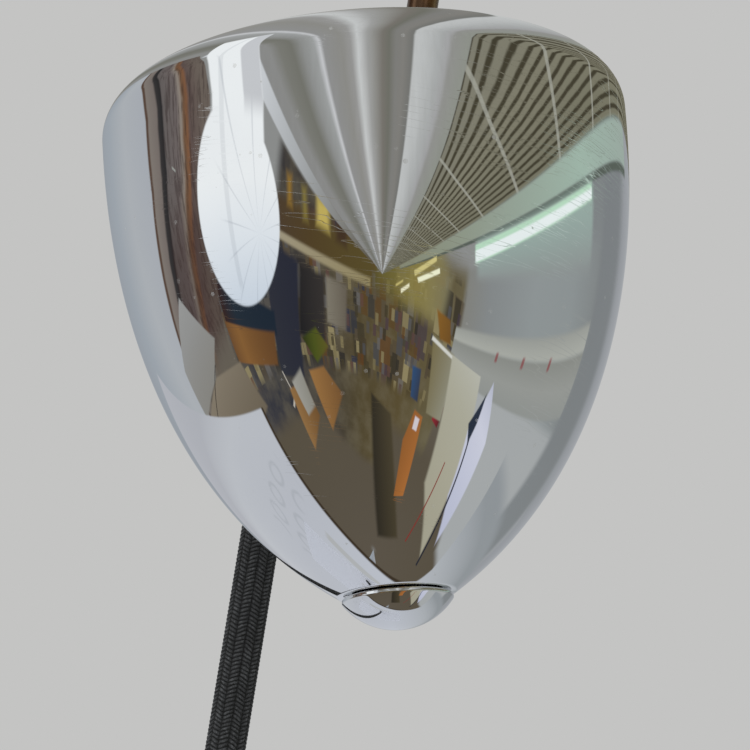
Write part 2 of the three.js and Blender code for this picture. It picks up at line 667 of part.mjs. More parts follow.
/** The moulded lampholder, with its screw-in mouth, neck hole and switch hole. */
function lampholder() {
  const top = holderFloor + 12;
  const body = revolve([
    [HEAD.neckRadius + GAP, top], [HEAD.holderRadius - 2, top], [HEAD.holderRadius, top - 2],
    [HEAD.holderRadius, HEAD.holderEnd], [holderBore, HEAD.holderEnd], [holderBore, holderFloor],
    [HEAD.neckRadius + GAP, holderFloor], [HEAD.neckRadius + GAP, top],
  ], 20);
  const spindleHole = towardsFront(bar(HEAD.switchRadius + GAP, 11, 30));
  return cut(body, spindleHole.translate(0, 0, HEAD.switchAt));
}

/** The shade's outer line from its collar on the holder to its mouth. */
function shadeProfile() {
  const top = HEAD.cupRim - GAP;
  const mouth = top - SHADE.depth;
  const collar = HEAD.holderRadius + SHADE.collar;
  return [
    [HEAD.holderRadius + GAP, top], [collar, top],
    ...bezier([collar, top], [SHADE.radius * 0.66, top - 1],
      [SHADE.radius * 0.96, top - SHADE.depth * 0.42], [SHADE.radius, mouth], 7),
  ];
}

/** The spun shade with its rolled rim. */
function shadeShell() {
  const outer = shadeProfile();
  const inner = inset(outer, SHADE.wall).reverse();
  const [rim, mouth] = outer[outer.length - 1];
  const roll = SHADE.rimRoll;
  return revolve([
    ...outer, [rim + roll, mouth - roll / 2], [rim + roll, mouth - roll * 1.5], [rim, mouth - roll * 2],
    [rim - SHADE.wall, mouth - roll * 1.6], ...inner, outer[0],
  ], 24);
}

/** The ring screwed up the lampholder, which holds the shade against the cup. */
function shadeRing() {
  const top = HEAD.cupRim - 2 * GAP - SHADE.wall;
  const outer = HEAD.holderRadius + SHADE.collar - 2;
  return pipe(outer, HEAD.holderRadius + GAP, top - 6, top, 20);
}

const contactDepth = 1;
const bulbTip = holderFloor - contactDepth - 3 * GAP;

/** The bulb's screw cap: centre contact, insulator cone and shell. */
function bulbCap() {
  return revolve([
    [0, bulbTip], [4.5, bulbTip], [4.5, bulbTip - 2], [10, bulbTip - 4], [bulbCapRadius, bulbTip - 5.5],
    [bulbCapRadius, bulbTip - BULB.capLength], [0, bulbTip - BULB.capLength],
  ], 18);
}

/** The blown glass, open where its neck meets the cap. */
function bulbGlass() {
  const neck = bulbTip - BULB.capLength - GAP;
  const centre = neck - BULB.length + BULB.radius;
  const throat = bulbCapRadius - 2 * GAP;
  const outer = [
    [throat, neck],
    ...bezier([throat, neck], [bulbCapRadius, neck - 16],
      [BULB.radius, centre + 22], [BULB.radius, centre], 4),
    ...arc(0, centre, BULB.radius, -20, -80, 3),
    [0, centre - BULB.radius],
  ];
  const inner = inset(outer, BULB.wall).reverse();
  inner[0] = [0, centre - BULB.radius + BULB.wall];
  inner[inner.length - 1][1] = neck;
  return revolve([...outer, ...inner, outer[0]], 16);
}

const bushFlange = 1.4;

/** The flanged bush in the cup's side hole, round the switch's spindle. */
function switchBush() {
  const [bore, face, foot] = [HEAD.switchRadius + GAP, cupRadius + GAP, cupRadius - 2 * HEAD.sheet];
  const flange = HEAD.bushRadius + 2;
  const bush = revolve([
    [bore, foot], [HEAD.bushRadius, foot], [HEAD.bushRadius, face], [flange, face],
    [flange, face + bushFlange], [bore, face + bushFlange], [bore, foot],
  ], 16);
  return towardsFront(bush).translate(0, 0, HEAD.switchAt);
}

/** The turning switch key: spindle, disc and grip bar. */
function switchKnob() {
  const face = cupRadius + bushFlange + 2 * GAP;
  const radius = HEAD.knobRadius;
  const spindle = bar(HEAD.switchRadius, 12, face + 2);
  const disc = revolve([
    [0, face], [radius, face], [radius, face + 3], [radius - 1, face + 4], [0, face + 4],
  ], 18);
  const grip = new THREE.BoxGeometry(2.6, 2 * radius - 3, 6).translate(0, 0, face + 6);
  return towardsFront(join(spindle, disc, grip)).translate(0, 0, HEAD.switchAt);
}

function buildHead(arm) {
  const fork = addFrame(arm, ARM.reach, 0, ARM.offset);
  addPart(fork, 'head_fork', headFork(), 'agedBrass');
  const pin = addFrame(fork, FORK.pinAt, 0, 0);
  addPart(pin, 'head_bolt', headBolt(), 'steel');
  const nut = handKnob(3 * FORK.pinRadius, nutGrip + 2, FORK.pinRadius + GAP, nutGrip + GAP, 5);
  addPart(pin, 'head_nut', towardsFront(nut).translate(0, -(forkOutside + GAP), 0), 'agedBrass');
  const head = addFrame(pin, 0, 0, 0, ARM.slope);
  addPart(head, 'head_neck', headNeck(), 'agedBrass');
  addPart(head, 'socket_cup', socketCup(), 'chrome');
  const nutSeat = HEAD.cupTop - HEAD.sheet - GAP;
  const neckNut = hexNut(HEAD.neckRadius + 5, HEAD.neckRadius + GAP, nutSeat - 5, nutSeat);
  addPart(head, 'neck_nut', neckNut, 'steel');
  addPart(head, 'lampholder', lampholder(), 'bakelite');
  const contact = bar(6, holderFloor - GAP - contactDepth, holderFloor - GAP);
  addPart(head, 'holder_contact', contact, 'brass');
  addPart(head, 'shade', shadeShell(), 'chrome');
  addPart(head, 'shade_ring', shadeRing(), 'bakelite');
  addPart(head, 'bulb_cap', bulbCap(), 'brass');
  addPart(head, 'bulb_glass', bulbGlass(), 'glass');
  addPart(head, 'switch_bush', switchBush(), 'brass');
  addPart(head, 'switch_knob', switchKnob(), 'bakelite');
}

// ---------------------------------------------------------------- mains flex
/** The flex from its outlet over the weight's shoulder and down to the coil on the table. */
const flexRoute = [
  [-148.9, 26.3, 347.1], [-149.6, 28.6, 347.7], [-152.0, 36.8, 348.4], [-155.1, 47.0, 345.1],
  [-157.7, 55.5, 338.9], [-159.4, 61.6, 329.9], [-160.2, 64.0, 319.3], [-160.3, 64.2, 290.0],
  [-160.3, 64.2, 240.0], [-160.4, 64.2, 180.0], [-160.4, 64.2, 120.0], [-160.4, 64.2, 70.0],
  [-160.8, 64.2, 40.0], [-163.9, 64.2, 24.0], [-170.9, 64.2, 12.1], [-181.3, 64.2, 5.5],
  [-195.5, 64.2, 3.8],
];
/** The short end of the flex from the coil to the plug. */
const flexEndRoute = [
  [-190.2, 161.3, 9.4], [-179.3, 161.3, 8.2], [-169.3, 161.3, 7.3], [-159.3, 161.3, 7.0],
];

/** The outer shape of the wound turns: two layers, the upper one narrower. */
function coilRing() {
  const half = COIL.turnsAcross * FLEX.radius;
  const [inner, outer] = [COIL.meanRadius - half, COIL.meanRadius + half];
  const lower = FLEX.rest + 2 * FLEX.radius;
  const upper = lower + FLEX.radius * Math.sqrt(3);
  return revolve([
    [inner + 1, FLEX.rest], [outer - 1, FLEX.rest], [outer, FLEX.rest + 2], [outer, lower - 1],
    [outer - FLEX.radius, upper], [inner + FLEX.radius, upper], [inner, lower - 1], [inner, FLEX.rest + 2],
    [inner + 1, FLEX.rest],
  ], 20).translate(COIL.x, COIL.y, 0);
}

/** A slim two-pin plug lying flat, its tapered tail towards the flex; made along +X from its tail. */
function plugBody() {
  const tailRadius = FLEX.radius + 0.6;
  const [half, length] = [PLUG.width / 2, PLUG.length];
  const outline = [
    [0, -half * 0.45], [length * 0.35, -half], [length - 4, -half], [length, -half + 3],
    [length, half - 3], [length - 4, half], [length * 0.35, half], [0, half * 0.45],
  ];
  const shape = new THREE.Shape(outline.map(([x, y]) => new THREE.Vector2(x, y)));
  const bevel = 1.5;
  const block = new THREE.ExtrudeGeometry(shape, {
    depth: PLUG.thickness - 2 * bevel, bevelEnabled: true, bevelThickness: bevel, bevelSize: bevel,
    bevelOffset: -bevel, bevelSegments: 2,
  }).translate(0, 0, -PLUG.thickness / 2 + bevel);
  const tail = alongX(revolve([[0, -PLUG.tail], [tailRadius, -PLUG.tail], [tailRadius + 1, 2], [0, 2]], 16));
  const pins = [1, -1].map((side) => alongX(bar(PLUG.pinRadius + GAP, length - 7, length + 5))
    .translate(0, (side * PLUG.pinPitch) / 2, 0));
  return cut(join(block, tail), ...pins);
}

function buildFlex(lamp) {
  addPart(lamp, 'flex', cordAlong(flexRoute, 28), 'textile');
  addPart(lamp, 'flex_coil', coilRing(), 'textile');
  addPart(lamp, 'flex_end', cordAlong(flexEndRoute, 4), 'textile');
  const [tipX, tipY, tipZ] = flexEndRoute[flexEndRoute.length - 1];
  const plug = addFrame(lamp, tipX + GAP + PLUG.tail, tipY, tipZ);
  addPart(plug, 'plug_body', plugBody(), 'rubber');
  for (const [side, name] of [[-1, 'plug_pin_front'], [1, 'plug_pin_rear']]) {
    const pin = alongX(bar(PLUG.pinRadius, PLUG.length - 7 + GAP, PLUG.length + PLUG.pinLength));
    addPart(plug, name, pin.translate(0, (side * PLUG.pinPitch) / 2, 0), 'brass');
  }
}

const lamp = new THREE.Group();
buildStand(lamp);
buildArm(lamp);
buildFlex(lamp);

export default lamp;
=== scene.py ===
"""Looks of a balance-arm desk lamp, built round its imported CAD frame, in metres."""
import sys
import json
import logging
import math
import random
from dataclasses import dataclass, field
from enum import Enum
from typing import Callable, Iterable, Sequence

import bmesh
import bpy
import numpy as np
from mathutils import Matrix, Vector


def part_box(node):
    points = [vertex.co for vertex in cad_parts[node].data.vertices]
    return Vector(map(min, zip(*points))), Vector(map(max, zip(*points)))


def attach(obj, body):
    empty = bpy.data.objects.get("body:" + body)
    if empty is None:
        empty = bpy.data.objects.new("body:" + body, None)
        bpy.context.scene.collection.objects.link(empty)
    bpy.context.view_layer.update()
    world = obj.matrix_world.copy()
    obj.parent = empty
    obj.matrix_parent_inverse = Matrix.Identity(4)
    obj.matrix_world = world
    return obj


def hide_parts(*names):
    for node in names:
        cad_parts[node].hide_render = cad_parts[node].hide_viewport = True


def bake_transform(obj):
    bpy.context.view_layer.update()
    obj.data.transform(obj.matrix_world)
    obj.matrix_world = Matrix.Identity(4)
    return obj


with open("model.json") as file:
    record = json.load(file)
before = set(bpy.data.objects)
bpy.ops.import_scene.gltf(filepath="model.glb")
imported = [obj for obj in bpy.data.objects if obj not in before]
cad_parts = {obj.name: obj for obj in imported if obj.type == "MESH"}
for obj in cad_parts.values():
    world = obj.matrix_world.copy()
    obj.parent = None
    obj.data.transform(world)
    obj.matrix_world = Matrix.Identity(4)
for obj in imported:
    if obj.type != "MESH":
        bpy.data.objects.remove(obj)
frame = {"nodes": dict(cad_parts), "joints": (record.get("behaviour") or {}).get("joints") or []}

LOG = logging.getLogger("lamp")
MM = 0.001
Pair = tuple[float, float]
Point = tuple[float, float, float]
Colour = tuple[float, float, float]


def tone(red: float, green: float, blue: float) -> Colour:
    """A display colour, 0 to 255 a channel, as the linear colour that a shader takes.

    Args:
        red: red channel.
        green: green channel.
        blue: blue channel.

    Returns:
        The linear red, green and blue.
    """
    def linear(value: float) -> float:
        """One channel, from display to linear."""
        share = value / 255
        return share / 12.92 if share <= 0.04045 else ((share + 0.055) / 1.055) ** 2.4
    return linear(red), linear(green), linear(blue)


# ------------------------------------------------------------------ shader maths
class Value:
    """One number in a node tree, so that shader maths can be written as expressions."""

    def __init__(self, bench: "Bench", socket: bpy.types.NodeSocket) -> None:
        """Wraps an output socket of a node on the bench."""
        self.bench = bench
        self.socket = socket

    def _math(self, operation: str, *terms: "Value | float") -> "Value":
        """The result of a Math node over some terms."""
        return self.bench.maths(operation, *terms)

    def __add__(self, other: "Value | float") -> "Value":
        """This value and another added."""
        return self._math("ADD", self, other)

    __radd__ = __add__

    def __sub__(self, other: "Value | float") -> "Value":
        """Another taken from this value."""
        return self._math("SUBTRACT", self, other)

    def __rsub__(self, other: "Value | float") -> "Value":
        """This value taken from another."""
        return self._math("SUBTRACT", other, self)

    def __mul__(self, other: "Value | float") -> "Value":
        """This value times another."""
        return self._math("MULTIPLY", self, other)

    __rmul__ = __mul__

    def __truediv__(self, other: "Value | float") -> "Value":
        """This value over another."""
        return self._math("DIVIDE", self, other)

    def __rtruediv__(self, other: "Value | float") -> "Value":
        """Another over this value."""
        return self._math("DIVIDE", other, self)

    def __pow__(self, other: "Value | float") -> "Value":
        """This value to a power."""
        return self._math("POWER", self, other)

    def __neg__(self) -> "Value":
        """This value with its sign turned."""
        return self._math("MULTIPLY", self, -1.0)

    def __abs__(self) -> "Value":
        """This value without its sign."""
        return self._math("ABSOLUTE", self)

    def least(self, other: "Value | float") -> "Value":
        """The smaller of the two."""
        return self._math("MINIMUM", self, other)

    def most(self, other: "Value | float") -> "Value":
        """The larger of the two."""
        return self._math("MAXIMUM", self, other)

    def part(self) -> "Value":
        """What is left over the whole number below."""
        return self._math("FRACT", self)

    def whole(self) -> "Value":
        """The whole number below."""
        return self._math("FLOOR", self)

    def sine(self) -> "Value":
        """The sine of this angle in radians."""
        return self._math("SINE", self)

    def cosine(self) -> "Value":
        """The cosine of this angle in radians."""
        return self._math("COSINE", self)

    def over(self, edge: float, soft: float) -> "Value":
        """0 below an edge and 1 above it, with a soft step between."""
        return self.bench.step(self, edge - soft, edge + soft)

    def within(self, low: float, high: float, soft: float) -> "Value":
        """1 between two edges and 0 outside, with soft steps."""
        if self.bench.folded:
            return self.bench.grouped("band", band_rule, Value=self, Low=low, High=high, Soft=soft)
        return self.over(low, soft) * (1.0 - self.over(high, soft))


class Bench:
    """A node tree being built, with one way to make every node."""

    def __init__(self, tree: bpy.types.NodeTree, folded: bool = False) -> None:
        """Starts an empty tree, which keeps its repeated rules in node groups if it is folded."""
        self.tree = tree
        self.folded = folded
        tree.nodes.clear()

    def node(self, kind: str, settings: dict | None = None, **sockets: object) -> bpy.types.Node:
        """Makes a node.

        Args:
            kind: the node's type name.
            settings: the node's own properties, set before its sockets; "stops" sets a ramp.
            **sockets: input name, with underscores for spaces, to a number, tuple, link or Value.

        Returns:
            The node.
        """
        made = self.tree.nodes.new(kind)
        for name, value in (settings or {}).items():
            if name == "stops":
                self._ramp(made, value)
            else:
                setattr(made, name, value)
        for name, value in sockets.items():
            key = name.replace("_", " ")
            slot = next(s for s in made.inputs if s.name == key and s.enabled)
            self.join(value, slot)
        return made

    def join(self, value: object, slot: bpy.types.NodeSocket) -> None:
        """Links a value to an input socket, or sets it."""
        if isinstance(value, Value):
            self.tree.links.new(value.socket, slot)
        elif isinstance(value, bpy.types.NodeSocket):
            self.tree.links.new(value, slot)
        elif slot.type == "RGBA" and len(value) == 3:
            slot.default_value = (*value, 1.0)
        else:
            slot.default_value = value

    @staticmethod
    def _ramp(made: bpy.types.Node, stops: Sequence[tuple[float, Colour]]) -> None:
        """Gives a colour ramp its stops."""
        ramp = made.color_ramp
        while len(ramp.elements) > 1:
            ramp.elements.remove(ramp.elements[-1])
        for index, (place, colour) in enumerate(stops):
            stop = ramp.elements[0] if index == 0 else ramp.elements.new(place)
            stop.position = place
            stop.color = (*colour, 1.0)

    def grouped(self, name: str, rule: Callable[["Bench", bpy.types.Node], Value], **sockets: object) -> Value:
        """The result of a rule kept in a node group, which is made the first time that it is asked for.

        Args:
            name: the group's name.
            rule: builds the group's inside from its input node and gives its one result.
            **sockets: the group's inputs, with underscores for spaces: numbers, vectors or links.

        Returns:
            The group's result.
        """
        tree = bpy.data.node_groups.get(name)
        if tree is None:
            tree = bpy.data.node_groups.new(name, "ShaderNodeTree")
            inner = Bench(tree)
            for title, value in sockets.items():
                is_vector = isinstance(value, (tuple, bpy.types.NodeSocketVector))
                kind = "Color" if title in ("Under", "Over") else "Vector" if is_vector else "Float"
                tree.interface.new_socket(title.replace("_", " "), in_out="INPUT", socket_type=f"NodeSocket{kind}")
            result = rule(inner, inner.node("NodeGroupInput"))
            kind = "Float" if isinstance(result, Value) else "Color"
            tree.interface.new_socket("Result", in_out="OUTPUT", socket_type=f"NodeSocket{kind}")
            inner.node("NodeGroupOutput", None, Result=result)
        return self.out(self.node("ShaderNodeGroup", {"node_tree": tree}, **sockets), "Result")

    def maths(self, operation: str, *terms: "Value | float") -> Value:
        """A Math node's result over one to three terms."""
        made = self.tree.nodes.new("ShaderNodeMath")
        made.operation = operation
        for slot, term in zip(made.inputs, terms):
            self.join(term, slot)
        return Value(self, made.outputs[0])

    def step(self, value: Value, low: float, high: float) -> Value:
        """A smooth step of a value from 0 at low to 1 at high."""
        made = self.node("ShaderNodeMapRange", {"interpolation_type": "SMOOTHSTEP"}, Value=value,
                         From_Min=low, From_Max=high, To_Min=0.0, To_Max=1.0)
        return Value(self, made.outputs["Result"])

    def spread(self, value: Value, low: float, high: float, start: float, end: float) -> Value:
        """A value laid evenly from one span on another, and held at its ends."""
        made = self.node("ShaderNodeMapRange", {"clamp": True}, Value=value,
                         From_Min=low, From_Max=high, To_Min=start, To_Max=end)
        return Value(self, made.outputs["Result"])

    def out(self, made: bpy.types.Node, name: str) -> Value:
        """A node's output as a value."""
        return Value(self, made.outputs[name])

    def vector(self, operation: str, *terms: object, name: str = "Vector") -> bpy.types.NodeSocket:
        """A Vector Math node's result over some terms."""
        made = self.node("ShaderNodeVectorMath", {"operation": operation})
        for slot, term in zip(made.inputs, terms):
            self.join(term, slot)
        return made.outputs[name]

    def dot(self, a: object, b: Point) -> Value:
        """How far a vector goes along a direction."""
        return Value(self, self.vector("DOT_PRODUCT", a, b, name="Value"))

    def mix(self, share: Value | float, under: object, over: object) -> bpy.types.NodeSocket:
        """Lays one colour over another by a share."""
        made = self.node("ShaderNodeMix", {"data_type": "RGBA", "clamp_factor": True})
        self.join(share, made.inputs[0])
        self.join(under, made.inputs[6])
        self.join(over, made.inputs[7])
        return made.outputs[2]

    def ramp(self, value: Value, stops: Sequence[tuple[float, Colour]], smooth: bool = False) -> bpy.types.NodeSocket:
        """A colour picked along a ramp of stops."""
        made = self.node("ShaderNodeValToRGB", {"stops": stops}, Fac=value)
        made.color_ramp.interpolation = "EASE" if smooth else "LINEAR"
        return made.outputs["Color"]

    def noise(self, place: object, scale: float, detail: float = 2.0, rough: float = 0.5) -> Value:
        """Smooth noise from 0 to 1 at a place."""
        made = self.node("ShaderNodeTexNoise", None, Vector=place, Scale=scale, Detail=detail, Roughness=rough)
        return self.out(made, "Fac")

    def cells(self, place: object, scale: float) -> tuple[Value, bpy.types.NodeSocket]:
        """Distance to the nearest of scattered points, and that point's own random colour."""
        made = self.node("ShaderNodeTexVoronoi", None, Vector=place, Scale=scale)
        return self.out(made, "Distance"), made.outputs["Color"]

    def mapped(self, place: object, scale: Point = (1, 1, 1), turn: Point = (0, 0, 0),
               shift: Point = (0, 0, 0)) -> bpy.types.NodeSocket:
        """A place moved, turned and scaled."""
        made = self.node("ShaderNodeMapping", None, Vector=place, Location=shift, Rotation=turn, Scale=scale)
        return made.outputs["Vector"]

    def bump(self, height: Value, distance: float, strength: float = 1.0) -> bpy.types.NodeSocket:
        """A normal raised by a height."""
        made = self.node("ShaderNodeBump", None, Strength=strength, Distance=distance, Height=height)
        return made.outputs["Normal"]


def band_rule(bench: Bench, given: bpy.types.Node) -> Value:
    """1 between two edges and 0 outside, with soft steps."""
    value, low, high, soft = (bench.out(given, name) for name in ("Value", "Low", "High", "Soft"))
    return bench.step(value, low - soft, low + soft) * (1.0 - bench.step(value, high - soft, high + soft))


def lay_rule(bench: Bench, given: bpy.types.Node) -> bpy.types.NodeSocket:
    """One colour over another by a share."""
    return bench.mix(bench.out(given, "Share"), given.outputs["Under"], given.outputs["Over"])


def inside_rule(bench: Bench, given: bpy.types.Node) -> Value:
    """1 inside every straight edge and 0 past any of them, with a soft border."""
    place, soft = given.outputs["Place"], bench.out(given, "Soft")
    depths = [Value(bench, bench.vector("DOT_PRODUCT", place, edge, name="Value"))
              for edge in given.outputs if edge.name.startswith("Edge")]
    inside = depths[0]
    for depth in depths[1:]:
        inside = inside.least(depth)
    return bench.step(inside, -soft, soft)


# ------------------------------------------------------------------ finishes
@dataclass(frozen=True)
class Finish:
    """A finish of one of the lamp's pieces, and the way it is painted."""

    name: str
    colour: Colour
    roughness: float
    metallic: float = 0.0

    def material(self) -> bpy.types.Material:
        """The finish's material, made once.

        Returns:
            The material.
        """
        known = bpy.data.materials.get(self.name)
        if known:
            return known
        made = bpy.data.materials.new(self.name)
        made.use_nodes = True
        bench = Bench(made.node_tree)
        place = bench.node("ShaderNodeTexCoord").outputs["Object"]
        links = {"Base_Color": self.colour, "Roughness": self.roughness, "Metallic": self.metallic}
        links.update(self.paint(bench, place))
        shader = bench.node("ShaderNodeBsdfPrincipled", None, **links)
        bench.node("ShaderNodeOutputMaterial", None, Surface=shader.outputs[0])
        return made

    def paint(self, bench: Bench, place: bpy.types.NodeSocket) -> dict[str, object]:
        """What changes over the surface, by input name."""
        return {}


@dataclass(frozen=True)
class MirrorPlate(Finish):
    """Mirror-polished chrome plate with hairlines, dust and small pits."""

    dust: float = 0.35
    hairline: float = 0.05

    def paint(self, bench: Bench, place: bpy.types.NodeSocket) -> dict[str, object]:
        """Dust specks, pits and hairlines over a faint haze."""
        scuffs: Value | None = None
        for turn, scale in (((0.4, 0.9, 0.2), 55.0), ((1.3, 0.1, 2.0), 70.0), ((2.2, 1.6, 0.7), 48.0)):
            stretched = bench.mapped(place, (1.0, 1.0, 14.0), turn)
            line = 1.0 - bench.step(abs(bench.noise(stretched, scale, 1.0) - 0.5), 0.0, 0.006)
            patch = bench.noise(bench.mapped(place, shift=turn), 30.0).over(0.6, 0.06)
            scuffs = line * patch if scuffs is None else scuffs.most(line * patch)
        near, tint = bench.cells(place, 620.0)
        lot = bench.out(bench.node("ShaderNodeSeparateColor", None, Color=tint), "Red")
        size = bench.spread(lot, 0.86, 1.0, 0.0, 0.3)
        speck = bench.step(size - near, 0.0, 0.05) * bench.noise(place, 45.0).over(0.52, 0.1) * self.dust
        haze = bench.noise(place, 60.0, 3.0)
        bare = bench.mix(haze * 0.25, self.colour, tone(206, 209, 214))
        return {
            "Base_Color": bench.mix(speck, bare, tone(226, 226, 222)),
            "Metallic": 1.0 - speck * 0.8,
            "Roughness": self.roughness + haze * 0.012 + speck * 0.4 + scuffs * self.hairline,
            "Normal": bench.bump(1.0 - scuffs, 0.000004, 0.5),
        }


@dataclass(frozen=True)
class AgedTube(Finish):
    """Brass tube that has gone brown, with darker and brighter clouds and rubbed spots."""

    rubbed: Colour = tone(168, 120, 78)
    stained: Colour = tone(66, 47, 34)

    def paint(self, bench: Bench, place: bpy.types.NodeSocket) -> dict[str, object]:
        """Clouds of tarnish, rubbed spots and draw lines."""
        cloud = bench.noise(place, 170.0, 5.0, 0.65)
        fine = bench.noise(place, 900.0, 3.0, 0.6)
        worn = bench.noise(bench.mapped(place, shift=(0.3, 0.1, 0.7)), 260.0, 4.0).over(0.62, 0.12)
        stain = bench.mix(cloud.over(0.5, 0.3) * 0.7 + 0.3, self.stained, self.colour)
        drawn = bench.noise(bench.mapped(place, (1, 1, 0.06)), 1500.0, 1.0)
        return {
            "Base_Color": bench.mix(worn * 0.35, stain, self.rubbed),
            "Roughness": self.roughness + (cloud - 0.5) * 0.3 - worn * 0.12 + (fine - 0.5) * 0.12,
            "Normal": bench.bump(fine * 0.7 + drawn * 0.3, 0.00003, 0.5),
        }


@dataclass(frozen=True)
class TurnedMetal(Finish):
    """Bare turned metal with tool rings, small scratches and dull spots."""

    spot: Colour = tone(120, 112, 98)

    def paint(self, bench: Bench, place: bpy.types.NodeSocket) -> dict[str, object]:
        """Dull spots over fine scratches."""
        spots = bench.noise(place, 180.0, 4.0, 0.6).over(0.6, 0.12)
        grain = bench.noise(bench.mapped(place, (1.0, 1.0, 9.0)), 900.0, 2.0)
        return {
            "Base_Color": bench.mix(spots * 0.6, self.colour, self.spot),
            "Roughness": self.roughness + (grain - 0.5) * 0.25 + spots * 0.15,
            "Normal": bench.bump(grain, 0.00002, 0.5),
        }


@dataclass(frozen=True)
class CastMetal(Finish):
    """Rough cast metal."""

    def paint(self, bench: Bench, place: bpy.types.NodeSocket) -> dict[str, object]:
        """Sand grain and rust-brown patches."""
        sand = bench.noise(place, 1400.0, 4.0, 0.7)
        rust = bench.noise(place, 70.0, 5.0).over(0.6, 0.1)
        return {
            "Base_Color": bench.mix(rust * 0.5, self.colour, tone(78, 54, 40)),
            "Roughness": self.roughness + (sand - 0.5) * 0.2,
            "Normal": bench.bump(sand, 0.0002, 0.8),
        }


@dataclass(frozen=True)
class Moulding(Finish):
    """Moulded bakelite or rubber: faint marbling, a soft skin and fine handling marks."""

    marbling: Colour = tone(52, 34, 24)
    grain: float = 0.00001

    def paint(self, bench: Bench, place: bpy.types.NodeSocket) -> dict[str, object]:
        """Marbling and handling marks."""
        swirl = bench.noise(bench.mapped(place, (1.0, 1.7, 0.6)), 110.0, 4.0, 0.6)
        marks = bench.noise(place, 900.0, 2.0)
        return {
            "Base_Color": bench.mix(swirl.over(0.56, 0.1) * 0.5, self.colour, self.marbling),
            "Roughness": self.roughness + (swirl - 0.5) * 0.12 + (marks - 0.5) * 0.1,
            "Normal": bench.bump(marks, self.grain, 0.6),
        }


@dataclass(frozen=True)
class Felted(Finish):
    """Pressed felt: matted fibres with paler ends."""

    def paint(self, bench: Bench, place: bpy.types.NodeSocket) -> dict[str, object]:
        """Matted fibres."""
        fibre = bench.noise(bench.mapped(place, (1.0, 2.4, 1.0), (0, 0, 0.6)), 2600.0, 4.0, 0.7)
        tuft = bench.noise(place, 300.0, 3.0)
        return {
            "Base_Color": bench.mix(fibre.over(0.58, 0.1) * 0.5, self.colour, tone(88, 96, 84)),
            "Roughness": 0.9 + (tuft - 0.5) * 0.1,
            "Normal": bench.bump(fibre * 0.6 + tuft * 0.4, 0.0003, 0.9),
        }


@dataclass(frozen=True)
class Enamel(Finish):
    """Stoved white enamel inside the shade, a little yellowed and speckled."""

    def paint(self, bench: Bench, place: bpy.types.NodeSocket) -> dict[str, object]:
        """Yellowing clouds and orange-peel skin."""
        cloud = bench.noise(place, 28.0, 3.0)
        peel = bench.noise(place, 420.0, 2.0)
        return {
            "Base_Color": bench.mix(cloud.over(0.55, 0.15) * 0.5, self.colour, tone(226, 218, 196)),
            "Roughness": self.roughness + (cloud - 0.5) * 0.1,
            "Normal": bench.bump(peel, 0.00004, 0.5),
        }


@dataclass(frozen=True)
class OpalGlass(Finish):
    """Opal bulb glass: a frosted white coat with a faint warm shade."""

    def paint(self, bench: Bench, place: bpy.types.NodeSocket) -> dict[str, object]:
        """A faint uneven coat inside the glass."""
        coat = bench.noise(place, 60.0, 3.0)
        return {
            "Base_Color": bench.mix(coat, self.colour, tone(236, 231, 218)),
            "Roughness": self.roughness + (coat - 0.5) * 0.08,
        }


@dataclass(frozen=True)
class Braid(Finish):
    """Black braided textile over the flex, patterned on the sleeve's own UV map."""

    columns: int = 12
    stitch: float = 0.00078
    # Pale grey that stitch crests are painted towards: a painted highlight on the crests, and also the colour of the
    # real pale stray fibres.
    fluff_and_crest_highlight: Colour = tone(128, 130, 132)

    def paint(self, bench: Bench, place: bpy.types.NodeSocket) -> dict[str, object]:
        """Slanted stitches in columns, each a few strands, with stray pale fibres; each stitch is painted pale at its
        crest and near-black at its edges, a painted highlight and painted shade.
        """
        uv = bench.node("ShaderNodeUVMap", {"uv_map": "Braid"}).outputs["UV"]
        split = bench.node("ShaderNodeSeparateXYZ", None, Vector=uv)
        along, around = bench.out(split, "X"), bench.out(split, "Y")
        column = around * self.columns
        side = (column.part() - 0.5) * (1.0 - (column.whole() * 0.5).part() * 4.0)
        wander = bench.noise(place, 420.0, 3.0, 0.6) - 0.5
        phase = (along / self.stitch + side * 1.1 + wander * 0.9).part()
        rib = (phase * math.pi).sine() * (column.part() * math.pi).sine() ** 0.6
        strand = (side * 30.0 + phase * 4.0).sine() * 0.5 + 0.5
        fluff = bench.noise(place, 2500.0, 3.0, 0.7)
        cloud = bench.noise(place, 120.0, 2.0)
        speck = bench.noise(bench.mapped(place, shift=(0.2, 0.5, 0.1)), 1500.0, 3.0, 0.7).over(0.56, 0.08)
        # Painted light: stitch crests paler and stitch edges darker, as painted highlight and painted shade; the
        # fluff and specks in it are real pale fibres.
        lit = rib * (0.12 + fluff * 0.6) * (0.5 + cloud * 0.7) + speck * 0.35 * rib
        return {
            "Base_Color": bench.mix(lit, self.colour, self.fluff_and_crest_highlight),
            "Roughness": 0.86 + (fluff - 0.5) * 0.15,
            "Normal": bench.bump(rib * 0.65 + strand * rib * 0.1 + fluff * 0.45, 0.00045, 1.0),
        }


